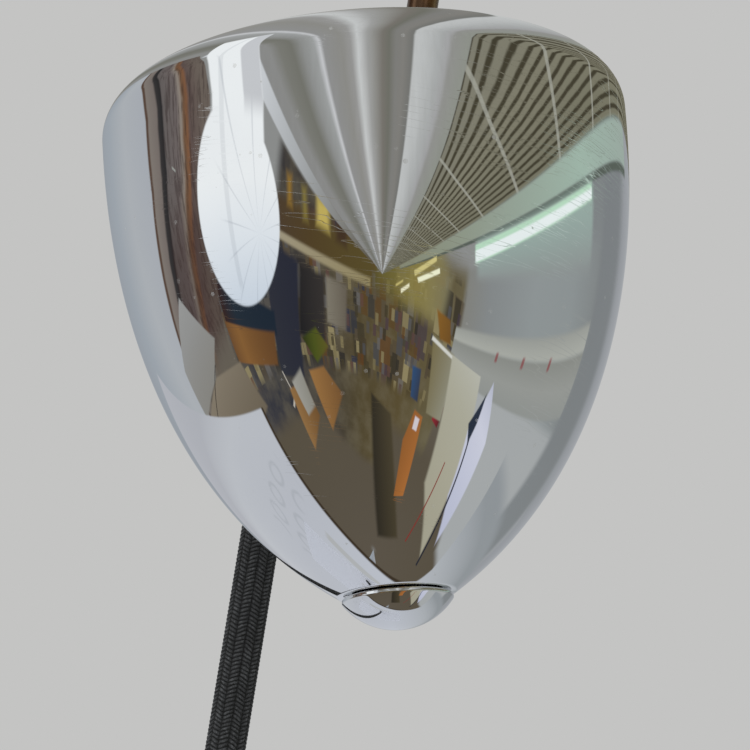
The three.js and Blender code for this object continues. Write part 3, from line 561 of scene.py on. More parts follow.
class Coat(Enum):
    """The lamp's finishes by the material slot that each stands for."""

    chrome = MirrorPlate("chrome_plate", tone(238, 239, 240), 0.015, 1.0)
    cap = MirrorPlate("chrome_cap", tone(236, 237, 238), 0.03, 1.0, 0.5, 0.1)
    aged_brass = AgedTube("aged_brass_tube", tone(142, 112, 88), 0.32, 1.0)
    brass = TurnedMetal("plain_brass", tone(190, 152, 92), 0.28, 1.0, tone(112, 84, 46))
    steel = TurnedMetal("turned_steel", tone(176, 178, 180), 0.26, 1.0)
    cast_iron = CastMetal("cast_metal", tone(62, 62, 64), 0.7, 0.5)
    bakelite = Moulding("bakelite", tone(28, 21, 17), 0.2)
    rubber = Moulding("black_rubber", tone(24, 24, 25), 0.55, 0.0, tone(34, 34, 35), 0.00003)
    felt = Felted("pressed_felt", tone(38, 44, 36), 0.9)
    textile = Braid("braided_textile", tone(23, 24, 24), 0.86)
    fibre = Moulding("fibre_washer", tone(134, 82, 54), 0.7, 0.0, tone(104, 60, 38), 0.00004)
    glass = OpalGlass("opal_glass", tone(243, 241, 234), 0.22)
    enamel = Enamel("shade_enamel", tone(238, 236, 226), 0.25)

    @property
    def slot(self) -> str:
        """The record's material slot that the finish answers to."""
        return {"cap": "chrome", "enamel": "chrome"}.get(self.name, self.name)


# ------------------------------------------------------------------ shapes, in millimetres
def arc(x: float, z: float, radius: float, start: float, end: float, steps: int) -> list[Pair]:
    """Points of an arc in a half section, angles in degrees."""
    turns = [math.radians(start + (end - start) * i / steps) for i in range(steps + 1)]
    return [(x + radius * math.cos(t), z + radius * math.sin(t)) for t in turns]


def bend(a: Pair, b: Pair, c: Pair, d: Pair, steps: int) -> list[Pair]:
    """Points of a cubic curve in a half section, without its first point."""
    made = []
    for i in range(1, steps + 1):
        t = i / steps
        s = 1 - t
        made.append(tuple(s ** 3 * p + 3 * s * s * t * q + 3 * s * t * t * u + t ** 3 * v
                          for p, q, u, v in zip(a, b, c, d)))
    return made


def inset(outline: Sequence[Pair], distance: float) -> list[Pair]:
    """An outline moved towards the right-hand side of its travel."""
    made = []
    for i, (x, z) in enumerate(outline):
        x0, z0 = outline[max(i - 1, 0)]
        x1, z1 = outline[min(i + 1, len(outline) - 1)]
        length = math.hypot(x1 - x0, z1 - z0)
        made.append((x + (z1 - z0) / length * distance, z - (x1 - x0) / length * distance))
    return made


def eased(outline: Sequence[Pair], radius: float, steps: int = 4) -> list[Pair]:
    """An outline whose sharp corners are rounded by a small radius.

    Args:
        outline: the corners; a first point equal to the last makes a closed line.
        radius: the rounding's radius, less where the sides are short.
        steps: straight pieces in each rounding.

    Returns:
        The rounded outline.
    """
    closed = outline[0] == outline[-1]
    corners = [Vector(p) for p in (outline[:-1] if closed else outline)]
    made: list[Pair] = []
    for i, corner in enumerate(corners):
        if not closed and i in (0, len(corners) - 1):
            made.append(tuple(corner))
            continue
        before, after = corners[i - 1] - corner, corners[(i + 1) % len(corners)] - corner
        opening = before.angle(after, 0.0)
        if opening > math.radians(150) or min(before.length, after.length) < 1e-4:
            made.append(tuple(corner))
            continue
        reach = min(radius / math.tan(opening / 2), before.length * 0.45, after.length * 0.45)
        start, end = corner + before.normalized() * reach, corner + after.normalized() * reach
        for k in range(steps + 1):
            t = k / steps
            made.append(tuple(start * (1 - t) ** 2 + corner * 2 * t * (1 - t) + end * t * t))
    return made + [made[0]] if closed else made


def lathe(outline: Sequence[Pair], sides: int = 96) -> bmesh.types.BMesh:
    """A half section turned about Z.

    Args:
        outline: radius and height pairs; it ends on the axis or on its own start.
        sides: facets round the axis.

    Returns:
        The closed shape.
    """
    shape = bmesh.new()
    closed = tuple(outline[0]) == tuple(outline[-1])
    turns = [(math.cos(a), math.sin(a)) for a in (2 * math.pi * i / sides for i in range(sides))]
    rings = []
    for r, z in (outline[:-1] if closed else outline):
        spread = turns if r > 1e-6 else turns[:1]
        rings.append([shape.verts.new((r * c, r * s, z)) for c, s in spread])
    for low, high in zip(rings, rings[1:] + ([rings[0]] if closed else [])):
        for i in range(sides):
            j = (i + 1) % sides
            ring = (low[i % len(low)], low[j % len(low)], high[j % len(high)], high[i % len(high)])
            corners = list(dict.fromkeys(ring))
            if len(corners) > 2:
                shape.faces.new(corners)
    bmesh.ops.recalc_face_normals(shape, faces=shape.faces)
    return shape


def bar(radius: float, start: float, end: float, edge: float = 0.0, sides: int = 64) -> bmesh.types.BMesh:
    """A round bar about Z with eased ends."""
    outline = [(0, start), (radius, start), (radius, end), (0, end)]
    return lathe(eased(outline, edge) if edge else outline, sides)


def ring(outer: float, inner: float, start: float, end: float, edge: float = 0.2) -> bmesh.types.BMesh:
    """A washer or tube about Z with eased edges."""
    return lathe(eased([(inner, start), (outer, start), (outer, end), (inner, end), (inner, start)], edge))


def plate(outline: Sequence[Pair], thickness: float) -> bmesh.types.BMesh:
    """A flat plate: an outline in the XZ plane, with its thickness along Y about Y = 0."""
    shape = bmesh.new()
    sides = [[shape.verts.new((x, y, z)) for x, z in outline] for y in (-thickness / 2, thickness / 2)]
    count = len(outline)
    shape.faces.new(sides[0])
    shape.faces.new(sides[1][::-1])
    for i in range(count):
        j = (i + 1) % count
        shape.faces.new((sides[0][i], sides[0][j], sides[1][j], sides[1][i]))
    bmesh.ops.recalc_face_normals(shape, faces=shape.faces)
    return shape


def moved(shape: bmesh.types.BMesh, *steps: Matrix) -> bmesh.types.BMesh:
    """A shape after some moves, the first one first."""
    for step in steps:
        shape.transform(step)
    return shape


def shift(x: float = 0.0, y: float = 0.0, z: float = 0.0) -> Matrix:
    """A move along the axes."""
    return Matrix.Translation((x, y, z))


def turn(degrees: float, axis: str) -> Matrix:
    """A turn about an axis."""
    return Matrix.Rotation(math.radians(degrees), 4, axis)


ALONG_X = turn(90, "Y")
TO_BACK = turn(-90, "X")
TO_FRONT = turn(90, "X")


def _scratch(shape: bmesh.types.BMesh) -> bpy.types.Object:
    """A throwaway object with a shape's mesh."""
    mesh = bpy.data.meshes.new("scratch")
    shape.to_mesh(mesh)
    shape.free()
    made = bpy.data.objects.new("scratch", mesh)
    bpy.context.scene.collection.objects.link(made)
    return made


def _shown(made: bpy.types.Object) -> bpy.types.Mesh:
    """An object's mesh with its modifiers, as a plain mesh."""
    graph = bpy.context.evaluated_depsgraph_get()
    graph.update()
    return bpy.data.meshes.new_from_object(made.evaluated_get(graph))


def carve(solids: Sequence[bmesh.types.BMesh], tools: Sequence[bmesh.types.BMesh] = ()) -> bmesh.types.BMesh:
    """Joins solids and takes tools out of them.

    Args:
        solids: closed shapes that overlap.
        tools: closed shapes to take away.

    Returns:
        The one shape that is left.
    """
    base = _scratch(solids[0])
    spares = [base]
    for operation, shapes in (("UNION", solids[1:]), ("DIFFERENCE", tools)):
        for shape in shapes:
            other = _scratch(shape)
            spares.append(other)
            step = base.modifiers.new("step", "BOOLEAN")
            step.operation, step.object, step.solver = operation, other, "EXACT"
    mesh = _shown(base)
    made = bmesh.new()
    made.from_mesh(mesh)
    bmesh.ops.remove_doubles(made, verts=made.verts, dist=1e-4)
    bmesh.ops.dissolve_limit(made, angle_limit=math.radians(0.5), verts=made.verts, edges=made.edges)
    for spare in spares:
        bpy.data.objects.remove(spare)
    bpy.data.meshes.remove(mesh)
    return made


def chamfered(shape: bmesh.types.BMesh, width: float = 0.35, segments: int = 2) -> bmesh.types.BMesh:
    """A shape whose sharp edges are eased by a small bevel."""
    spare = _scratch(shape)
    edge = spare.modifiers.new("edge", "BEVEL")
    edge.width, edge.segments, edge.limit_method = width, segments, "ANGLE"
    edge.angle_limit = math.radians(32)
    edge.use_clamp_overlap = True
    mesh = _shown(spare)
    made = bmesh.new()
    made.from_mesh(mesh)
    bpy.data.objects.remove(spare)
    bpy.data.meshes.remove(mesh)
    return made


# ------------------------------------------------------------------ frames taken from the CAD's joints
JOINTS = {joint["name"]: joint for joint in frame["joints"]}


def joint_place(name: str) -> Vector:
    """A joint's place in millimetres."""
    return Vector(JOINTS[name]["pos_m"]) / MM


@dataclass(frozen=True)
class Places:
    """The lamp's own frames, as moves in millimetres."""

    slope: float = 20.0
    offset: float = 16.0
    tail: float = 144.2
    reach: float = 400.0
    hanger: float = 102.0
    lean: float = 12.4
    pivot_depth: float = 36.5
    pin_at: float = 40.0

    @property
    def pivot(self) -> Matrix:
        """The stem's pivot, level."""
        return Matrix.Translation(joint_place("arm_tilt"))

    @property
    def arm(self) -> Matrix:
        """The arm's frame: X along the arm."""
        return self.pivot @ turn(-self.slope, "Y")

    @property
    def tail_end(self) -> Matrix:
        """The arm's tail, level again."""
        return self.arm @ shift(-self.tail, 0, self.offset) @ turn(self.slope, "Y")

    @property
    def eye(self) -> Matrix:
        """The eye at the hanger's foot."""
        return self.tail_end @ shift(z=-self.hanger)

    @property
    def weight_pivot(self) -> Matrix:
        """The weight's pin, with Z along the leaning weight."""
        return self.eye @ turn(-self.lean, "Y")

    @property
    def weight(self) -> Matrix:
        """The weight's top plane."""
        return self.weight_pivot @ shift(z=self.pivot_depth)

    @property
    def fork(self) -> Matrix:
        """The arm's end, X along the arm."""
        return self.arm @ shift(self.reach, 0, self.offset)

    @property
    def head_pin(self) -> Matrix:
        """The head's tilting pin, in the fork's direction."""
        return self.fork @ shift(self.pin_at)

    @property
    def head(self) -> Matrix:
        """The head's tilting pin, level."""
        return self.head_pin @ turn(self.slope, "Y")


PLACES = Places()
NEAR = ("weight", None)


def set_piece(name: str, shape: bmesh.types.BMesh | bpy.types.Mesh, coat: Coat, body: str | None,
              place: Matrix | None = None, stands_for: Iterable[str] = (), sharp: float = 32.0) -> bpy.types.Object:
    """Makes a finished piece of the lamp.

    Args:
        name: the piece's name.
        shape: its shape in millimetres, or a finished mesh in metres.
        coat: its finish.
        body: the CAD body that it rides on, or None to leave it unattached.
        place: where the shape goes, as a move in millimetres.
        stands_for: the CAD nodes that it is shown for.
        sharp: the angle in degrees over which an edge stays sharp.

    Returns:
        The piece, at the origin, with its place in its mesh.
    """
    if isinstance(shape, bmesh.types.BMesh):
        shape.transform(Matrix.Scale(MM, 4) @ (place or Matrix.Identity(4)))
        mesh = bpy.data.meshes.new(name)
        shape.to_mesh(mesh)
        shape.free()
    else:
        mesh = shape
        mesh.name = name
    mesh.materials.clear()
    mesh.materials.append(coat.value.material())
    mesh.shade_smooth()
    mesh.set_sharp_from_angle(angle=math.radians(sharp))
    made = bpy.data.objects.new(name, mesh)
    bpy.context.scene.collection.objects.link(made)
    if stands_for:
        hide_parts(*stands_for)
    if body:
        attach(made, body)
    made.visible_glossy = body in NEAR
    LOG.info("%s: %d faces, %s", name, len(mesh.polygons), coat.name)
    return made


def dress(node: str, coat: Coat) -> None:
    """Gives a CAD node that stays its finish."""
    kept = frame["nodes"][node]
    kept.visible_glossy = False
    for slot in kept.material_slots:
        slot.material = coat.value.material()
    LOG.info("%s: CAD piece kept, %s", node, coat.name)


# ------------------------------------------------------------------ shapes made by node trees
class NodeShape:
    """A shape that a node tree makes from named inputs."""

    SOCKETS = {"f": "NodeSocketFloat", "i": "NodeSocketInt", "o": "NodeSocketObject", "m": "NodeSocketMaterial"}

    def __init__(self, name: str, inputs: dict[str, tuple[str, object]]) -> None:
        """Starts the tree.

        Args:
            name: the tree's name.
            inputs: input name to its kind, by first letter, and its default value.
        """
        self.tree = bpy.data.node_groups.new(name, "GeometryNodeTree")
        self.tree.interface.new_socket("Geometry", in_out="OUTPUT", socket_type="NodeSocketGeometry")
        self.keys: dict[str, str] = {}
        for label, (kind, value) in inputs.items():
            socket = self.tree.interface.new_socket(label, in_out="INPUT", socket_type=self.SOCKETS[kind])
            if value is not None:
                socket.default_value = value
            self.keys[label] = socket.identifier
        self.bench = Bench(self.tree)
        self.given = self.bench.node("NodeGroupInput").outputs

    def value(self, label: str) -> Value:
        """An input as a value."""
        return Value(self.bench, self.given[label])

    def close(self, geometry: bpy.types.NodeSocket) -> None:
        """Ends the tree: real copies and their finish."""
        real = self.bench.node("GeometryNodeRealizeInstances", None, Geometry=geometry)
        coat = self.bench.node("GeometryNodeSetMaterial", None, Geometry=real.outputs["Geometry"],
                               Material=self.given["Finish"])
        self.bench.node("NodeGroupOutput", None, Geometry=coat.outputs["Geometry"])

    def make(self, **values: object) -> bmesh.types.BMesh:
        """The shape for some input values, with underscores for spaces in their names.

        Returns:
            The shape, plain.
        """
        holder = _scratch(bmesh.new())
        step = holder.modifiers.new("tree", "NODES")
        step.node_group = self.tree
        for label, value in values.items():
            step[self.keys[label.replace("_", " ")]] = value
        mesh = _shown(holder)
        made = bmesh.new()
        made.from_mesh(mesh)
        bpy.data.objects.remove(holder)
        bpy.data.meshes.remove(mesh)
        return made


class RibRing(NodeShape):
    """Ribs in a ring, each a little uneven."""

    def __init__(self) -> None:
        """Builds the tree."""
        super().__init__("ring_of_ribs", {
            "Rib": ("o", None), "Count": ("i", 24), "Radius": ("f", 10.0), "Unevenness": ("f", 0.02),
            "Seed": ("i", 7), "Finish": ("m", None),
        })
        bench = self.bench
        circle = bench.node("GeometryNodeMeshCircle", None, Vertices=self.given["Count"],
                            Radius=self.given["Radius"])
        place = bench.node("GeometryNodeInputPosition").outputs["Position"]
        face = bench.node("FunctionNodeAlignRotationToVector", {"axis": "X"}, Vector=place)
        rib = bench.node("GeometryNodeObjectInfo", None, Object=self.given["Rib"])
        size = bench.node("FunctionNodeRandomValue", {"data_type": "FLOAT"}, Seed=self.given["Seed"])
        bench.join(1.0 - self.value("Unevenness"), size.inputs[2])
        size.inputs[3].default_value = 1.0
        row = bench.node("GeometryNodeInstanceOnPoints", None, Points=circle.outputs["Mesh"],
                         Instance=rib.outputs["Geometry"], Rotation=face.outputs["Rotation"])
        bench.join(size.outputs[1], row.inputs["Scale"])
        self.close(row.outputs["Instances"])

    def ring(self, rib: bmesh.types.BMesh, count: int, radius: float, coat: Coat) -> bmesh.types.BMesh:
        """A ring of ribs about Z.

        Args:
            rib: one rib, X pointing outwards.
            count: how many.
            radius: the ring's radius.
            coat: the ribs' finish.

        Returns:
            The ribs as one plain shape.
        """
        pattern = _scratch(rib)
        made = self.make(Rib=pattern, Count=count, Radius=radius, Finish=coat.value.material())
        bpy.data.objects.remove(pattern)
        return made


class SpunOgive(NodeShape):
    """The weight's spun side: one cubic curve from shoulder to foot, turned about Z."""

    def __init__(self) -> None:
        """Builds the tree."""
        super().__init__("spun_ogive", {
            "Radius": ("f", 45.0), "Start": ("f", -6.0), "Length": ("f", 80.8), "Upper Handle": ("f", 41.45),
            "Foot Radius": ("f", 9.7), "Foot Handle": ("f", 24.4), "Foot Slope": ("f", 33.9),
            "Steps": ("i", 160), "Sides": ("i", 257), "Finish": ("m", None),
        })
        bench, value = self.bench, self.value
        grid = bench.node("GeometryNodeMeshGrid", None, Size_X=1.0, Size_Y=1.0,
                          Vertices_X=self.given["Steps"], Vertices_Y=self.given["Sides"])
        place = bench.node("ShaderNodeSeparateXYZ", None,
                           Vector=bench.node("GeometryNodeInputPosition").outputs["Position"])
        t = bench.out(place, "X") + 0.5
        s = 1.0 - t
        angle = (bench.out(place, "Y") + 0.5) * (2 * math.pi)
        slope = value("Foot Slope") * (math.pi / 180)
        reach = value("Foot Handle") * slope.cosine() + value("Foot Radius")
        wide = s * s * (s + t * 3.0) * value("Radius")
        radius = wide + s * t * t * 3.0 * reach + t * t * t * value("Foot Radius")
        low = value("Foot Handle") * slope.sine() - value("Length")
        height = value("Start") - s * s * t * 3.0 * value("Upper Handle")
        height = height + s * t * t * 3.0 * low - t * t * t * value("Length")
        spot = bench.node("ShaderNodeCombineXYZ", None, X=radius * angle.cosine(), Y=radius * angle.sine(),
                          Z=height)
        spun = bench.node("GeometryNodeSetPosition", None, Geometry=grid.outputs["Mesh"],
                          Position=spot.outputs["Vector"])
        shut = bench.node("GeometryNodeMergeByDistance", None, Geometry=spun.outputs["Geometry"],
                          Distance=0.0005)
        self.close(shut.outputs["Geometry"])


def together(*shapes: bmesh.types.BMesh) -> bmesh.types.BMesh:
    """Several shapes as one, without joining their walls."""
    made = shapes[0]
    for shape in shapes[1:]:
        spare = bpy.data.meshes.new("spare")
        shape.to_mesh(spare)
        shape.free()
        made.from_mesh(spare)
        bpy.data.meshes.remove(spare)
    return made


# ------------------------------------------------------------------ the room round the lamp
@dataclass(frozen=True)
class Patch:
    """One surface of the workshop that the chrome mirrors, laid over those before it."""

    plan: str
    across: Pair
    up: Pair
    tones: tuple[Colour, ...]
    soft: float = 0.6
    run: str = "up"


@dataclass(frozen=True)
class Board:
    """A flat thing with straight edges, given by its corners on a plan."""

    plan: str
    corners: tuple[Pair, ...]
    tones: tuple[Colour, ...]
    soft: float = 0.015

    def edges(self) -> list[Point]:
        """Each edge as a unit normal that points inward and its distance."""
        turns = list(zip(self.corners, self.corners[1:] + self.corners[:1]))
        area = sum(x0 * y1 - x1 * y0 for (x0, y0), (x1, y1) in turns)
        way = 1.0 if area > 0 else -1.0
        made = []
        for (x0, y0), (x1, y1) in turns:
            length = math.hypot(x1 - x0, y1 - y0)
            nx, ny = way * (y0 - y1) / length, way * (x1 - x0) / length
            made.append((nx, ny, -(x0 * nx + y0 * ny)))
        return made


def thin(plan: str, start: Pair, end: Pair, width: float, *greys: Sequence[float]) -> Board:
    """A thin straight strip from one place to another."""
    length = math.dist(start, end)
    x, y = (start[1] - end[1]) / length * width, (end[0] - start[0]) / length * width
    corners = (start, end, (end[0] + x, end[1] + y), (start[0] + x, start[1] + y))
    return Board(plan, corners, paved(*greys), width * 0.3)


def paved(*greys: Sequence[float]) -> tuple[Colour, ...]:
    """Display colours as linear ones, a little brighter for what the plating takes away."""
    return tuple(tone(*(min(channel * 1.03, 255) for channel in grey)) for grey in greys)


class Room:
    """A workshop, painted on the sky for mirrors alone, and the grey backdrop that the camera sees."""

    AXES: tuple[Point, Point, Point] = (
        (0.1201, -0.9581, -0.2601), (0.9922, 0.1244, 0.0), (0.0324, -0.2581, 0.9656))
    BACKDROP: Colour = tone(196, 196, 195)
    OUT_OF_SIGHT: float = 900.0
    DEGREES: float = 180 / math.pi
    FAR_WALL: Pair = (-78, 46)
    CLOTH: Pair = (-70, 43.2)
    SLATS: Pair = (43.2, 66.5)
    SLAT_PITCH: float = 0.0724
    JOIST_PITCH: float = 0.93
    RAIL_SLOPE: float = 0.358
    TIES: tuple[float, ...] = (0.39, 0.10, -0.20)

    def __init__(self) -> None:
        """Starts the world's node tree, with its plans: pairs of values that place things."""
        self.world = bpy.data.worlds.new("workshop")
        bpy.context.scene.world = self.world
        self.world.use_nodes = True
        self.bench = Bench(self.world.node_tree, folded=True)
        bench = self.bench
        self.ray = bench.node("ShaderNodeTexCoord").outputs["Generated"]
        split = bench.node("ShaderNodeSeparateXYZ", None, Vector=self.ray)
        x, y, z = (bench.out(split, name) for name in "XYZ")
        self.sides = (x, z)
        way = bench.node("ShaderNodeCombineXYZ", None, X=x, Y=y, Z=z).outputs["Vector"]
        ahead, aside, above = (bench.dot(way, axis) for axis in self.AXES)
        self.off = bench.maths("ARCCOSINE", ahead.most(-1.0).least(1.0)) * self.DEGREES
        bare = bench.maths("ARCTAN2", aside, above) * self.DEGREES
        pinch = bench.step(self.off, 16.0, 70.0) * (1.0 - bare.over(46.0, 8.0)) * 6.5
        self.round = bare + pinch * bare / (abs(bare) + 6.0)
        self.azimuth = bench.maths("ARCTAN2", x, -y) * self.DEGREES
        self.height = bench.maths("ARCSINE", z.most(-1.0).least(1.0)) * self.DEGREES
        down, back, side = (-z).most(0.02), (-y).most(0.02), x.most(0.02)
        self.plans: dict[str, tuple[Value, Value]] = {
            "room": (self.azimuth, self.height),
            "view": (self.round, self.off),
            "floor": (x / down, y / down),
            "back": (x / back, z / back),
            "side": (-y / side, z / side),
        }
        self.grain = bench.noise(self.ray, 9.0, 4.0, 0.6)
        self.below = (-z).over(0.02, 0.01)
        self.spots: dict[str, Value] = {}
        for plan, faced in (("floor", self.below), ("back", (-y).over(0.03, 0.01))):
            across, up = self.plans[plan]
            across = across + (1.0 - faced) * self.OUT_OF_SIGHT
            place = bench.node("ShaderNodeCombineXYZ", None, X=across, Y=up, Z=1.0)
            self.spots[plan] = bench.out(place, "Vector")
        self.colour: object = tone(150, 151, 149)

    def lay(self, share: Value | float, colour: object) -> None:
        """Lays a colour over the room so far."""
        laid = self.bench.grouped("lay", lay_rule, Under=self.colour, Share=share, Over=colour)
        self.colour = laid.socket

    def _tones(self, line: Value, span: Pair, tones: Sequence[Colour]) -> object:
        """Colours spread evenly over a span."""
        if len(tones) == 1:
            return tones[0]
        stops = [(i / (len(tones) - 1), colour) for i, colour in enumerate(tones)]
        return self.bench.ramp(self.bench.spread(line, *span, 0.0, 1.0), stops)

    def patch(self, patch: Patch) -> None:
        """Lays one patch."""
        across, up = self.plans[patch.plan]
        share = across.within(*patch.across, patch.soft) * up.within(*patch.up, patch.soft)
        line, span = (up, patch.up) if patch.run == "up" else (across, patch.across)
        self.lay(share, self._tones(line, span, patch.tones))

    def board(self, board: Board, most: float = 1.0) -> None:
        """Lays one straight-edged thing, shaded from its first tone to its last across its width."""
        edges = {f"Edge_{index}": edge for index, edge in enumerate(board.edges())}
        share = self.bench.grouped(f"inside_{len(edges)}", inside_rule, Place=self.spots[board.plan].socket,
                                   Soft=board.soft, **edges)
        wide = [x for x, _ in board.corners]
        colour = self._tones(self.plans[board.plan][0], (min(wide), max(wide)), board.tones)
        self.lay(share * most if most < 1.0 else share, colour)

    def walls(self) -> None:
        """The far walls and floor."""
        self.patch(Patch("room", (-181, 181), (-90, -8), paved((96, 88, 76), (92, 84, 70), (118, 112, 104)), 2))
        self.patch(Patch("room", (100, 181), (-48, 90), paved((150, 155, 155), (156, 162, 162), (132, 136, 137),
                                                             (127, 130, 132), (126, 130, 134)), 3))
        self.board(Board("floor", ((0.75, 0.2), (1.2, -0.55), (2.2, -1.5), (60, -34), (60, 60), (2.2, 8.0)),
                         paved((172, 175, 175), (166, 170, 170), (160, 164, 165), (154, 158, 160)), 0.05))
        self.patch(Patch("view", (78, 104), (26, 125), paved((133, 128, 113), (139, 143, 143), (149, 155, 155),
                                                            (147, 153, 153), (132, 136, 136)), 1.5))
        self.patch(Patch("room", (126, 150), (-60, 60), paved((142, 147, 150), (130, 134, 135), (125, 129, 133)), 3))
        self.patch(Patch("room", (150, 181), (-60, 90), paved((150, 153, 157), (166, 169, 173)), 6, "across"))

    def left_side(self) -> None:
        """The pale backdrop sweep at the left, and the brown wall next to it."""
        level = self.azimuth + (-self.height).most(0.0) * 0.45 + (self.height - 7.0).most(0.0) * 0.7
        high = self.height.over(-26, 4)
        stops = ((-106, (96, 78, 66)), (-104.6, (88, 70, 60)), (-103.6, (132, 124, 117)), (-98.5, (122, 113, 108)),
                 (-97.3, (58, 56, 56)), (-94.6, (46, 46, 47)), (-93.6, (104, 98, 96)), (-86, (112, 103, 101)),
                 (-83.5, (146, 136, 126)), (-82, (112, 86, 66)), (-80, (130, 92, 66)), (-78.5, (98, 84, 80)),
                 (-72, (110, 100, 92)))
        low, top = stops[0][0], stops[-1][0]
        place = self.bench.spread(level + (self.grain - 0.5) * 2.2, low, top, 0.0, 1.0)
        brown = self.bench.ramp(place, [((a - low) / (top - low), paved(c)[0]) for a, c in stops])
        streak = self.bench.noise(self.bench.mapped(self.ray, (1.0, 1.0, 0.25)), 46.0, 4.0, 0.7)
        inner = level.over(-95, 2.0)
        brown = self.bench.mix(streak.over(0.54, 0.06) * inner * 0.55, brown, paved((58, 48, 46))[0])
        brown = self.bench.mix(self.height.within(-30, -6, 5.0) * inner * 0.5, brown, paved((64, 46, 42))[0])
        self.lay(level.within(-106, -68, 0.4) * high, brown)
        sweep = self._tones(self.azimuth, (-181, -106), paved(
            (166, 169, 173), (150, 156, 163), (160, 167, 174), (178, 182, 186), (174, 178, 184)))
        self.lay(1.0 - level.over(-106, 0.6), sweep)

    def clutter(self) -> None:
        """The dim far wall, with the odds and ends that stand along it."""
        bench = self.bench
        band = self.azimuth.within(*self.FAR_WALL, 1.5) * self.height.within(-48, -5, 3.0)
        band = band.most(self.round.within(72, 181, 2.0) * self.off.within(0, 22, 2.0))
        band = band.most((1.0 - self.round.over(-75, 0.8)) * self.off.within(0, 46, 2.0))
        dim = self._tones(self.azimuth, self.FAR_WALL, paved(
            (62, 62, 68), (50, 52, 60), (66, 62, 58), (84, 74, 50), (92, 80, 52), (104, 96, 70)))
        self.lay(band, bench.mix(self.grain.over(0.52, 0.2) * 0.4, dim, paved((120, 112, 92))[0]))
        stops = [(i / 11, colour) for i, colour in enumerate(paved(
            (79, 64, 58), (42, 42, 42), (90, 79, 49), (96, 64, 36), (53, 58, 66), (143, 136, 126),
            (59, 58, 56), (157, 145, 107), (54, 43, 16), (94, 84, 69), (46, 52, 72), (128, 88, 50)))]
        for wide, tall, seed, part, most in ((7.0, 9.0, 3.0, 0.5, 0.7), (3.4, 5.0, 11.0, 0.42, 0.8),
                                             (1.7, 2.6, 23.0, 0.25, 0.85)):
            row = (self.height / tall + self.azimuth / 240.0 + seed).whole()
            column = self.azimuth / wide + (row * 0.37).part() + self.height / 50.0
            lot = bench.node("ShaderNodeTexWhiteNoise", {"noise_dimensions": "1D"},
                             W=column.whole() + row * 61.0 + seed)
            pick = bench.out(lot, "Value")
            inside = column.part().within(0.05, 0.95, 0.05)
            shown = (pick * 7.31 + seed).part().over(1.0 - part, 0.001)
            near = self.height.within(-38, -8, 2.0)
            self.lay(band * near * inside * shown * most, bench.ramp(pick, stops))
        self.board(Board("back", ((0.05, -0.32), (0.75, -0.42), (0.80, -0.18), (0.62, -0.06), (0.10, -0.16)),
                         paved((98, 90, 44), (150, 138, 76), (136, 130, 100)), 0.06), 0.8)

    def shelves(self) -> None:
        """The long shelf and what hangs and stands under it."""
        for board in (
            Board("back", ((-1.0, -0.12), (0.05, -0.20), (0.05, -0.32), (-1.0, -0.30)),
                  paved((78, 64, 54), (84, 68, 42), (92, 80, 44)), 0.03),
            thin("back", (-0.68, -0.16), (-0.64, -0.165), 0.10, (150, 116, 50)),
            thin("back", (-0.52, -0.19), (-0.49, -0.19), 0.10, (138, 124, 64)),
            thin("back", (-0.40, -0.19), (-0.30, -0.20), 0.09, (196, 176, 96)),
            thin("back", (-0.24, -0.22), (-0.16, -0.23), 0.08, (70, 54, 40)),
            Board("back", ((-1.05, -0.34), (-0.62, -0.37), (-0.80, -1.10), (-1.32, -1.35)),
                  paved((52, 54, 62), (44, 46, 58)), 0.02),
            Board("back", ((-0.60, -0.38), (-0.36, -0.37), (-0.40, -0.70), (-0.72, -0.76)),
                  paved((34, 34, 36), (58, 54, 52)), 0.02),
            Board("back", ((-0.34, -0.37), (-0.16, -0.37), (-0.18, -0.58), (-0.36, -0.58)),
                  paved((132, 126, 112), (104, 96, 84)), 0.015),
            Board("back", ((-0.70, -0.77), (-0.50, -0.65), (-0.38, -0.72), (-0.54, -0.88)),
                  paved((46, 52, 26), (78, 86, 34), (96, 92, 40)), 0.015),
            thin("back", (-0.98, -0.31), (0.03, -0.34), 0.035, (168, 158, 136), (150, 138, 100)),
            Board("back", ((-4.2, -1.2), (-2.5, -0.95), (-1.05, -0.58), (-1.15, -0.92), (-4.4, -2.3)),
                  paved((60, 40, 34), (40, 50, 60), (34, 44, 56)), 0.02),
            Board("back", ((-4.6, -2.1), (-1.20, -0.92), (-1.35, -1.26), (-4.6, -2.9)),
                  paved((110, 78, 50), (138, 98, 56), (104, 72, 44)), 0.02),
            Board("back", ((0.49, -0.66), (0.60, -0.68), (0.64, -0.93), (0.53, -0.88)),
                  paved((52, 82, 120), (56, 60, 74)), 0.01),
            Board("back", ((0.96, -0.96), (1.15, -1.03), (1.14, -1.26), (0.97, -1.13)),
                  paved((150, 44, 54), (96, 40, 44)), 0.01),
        ):
            self.board(board)

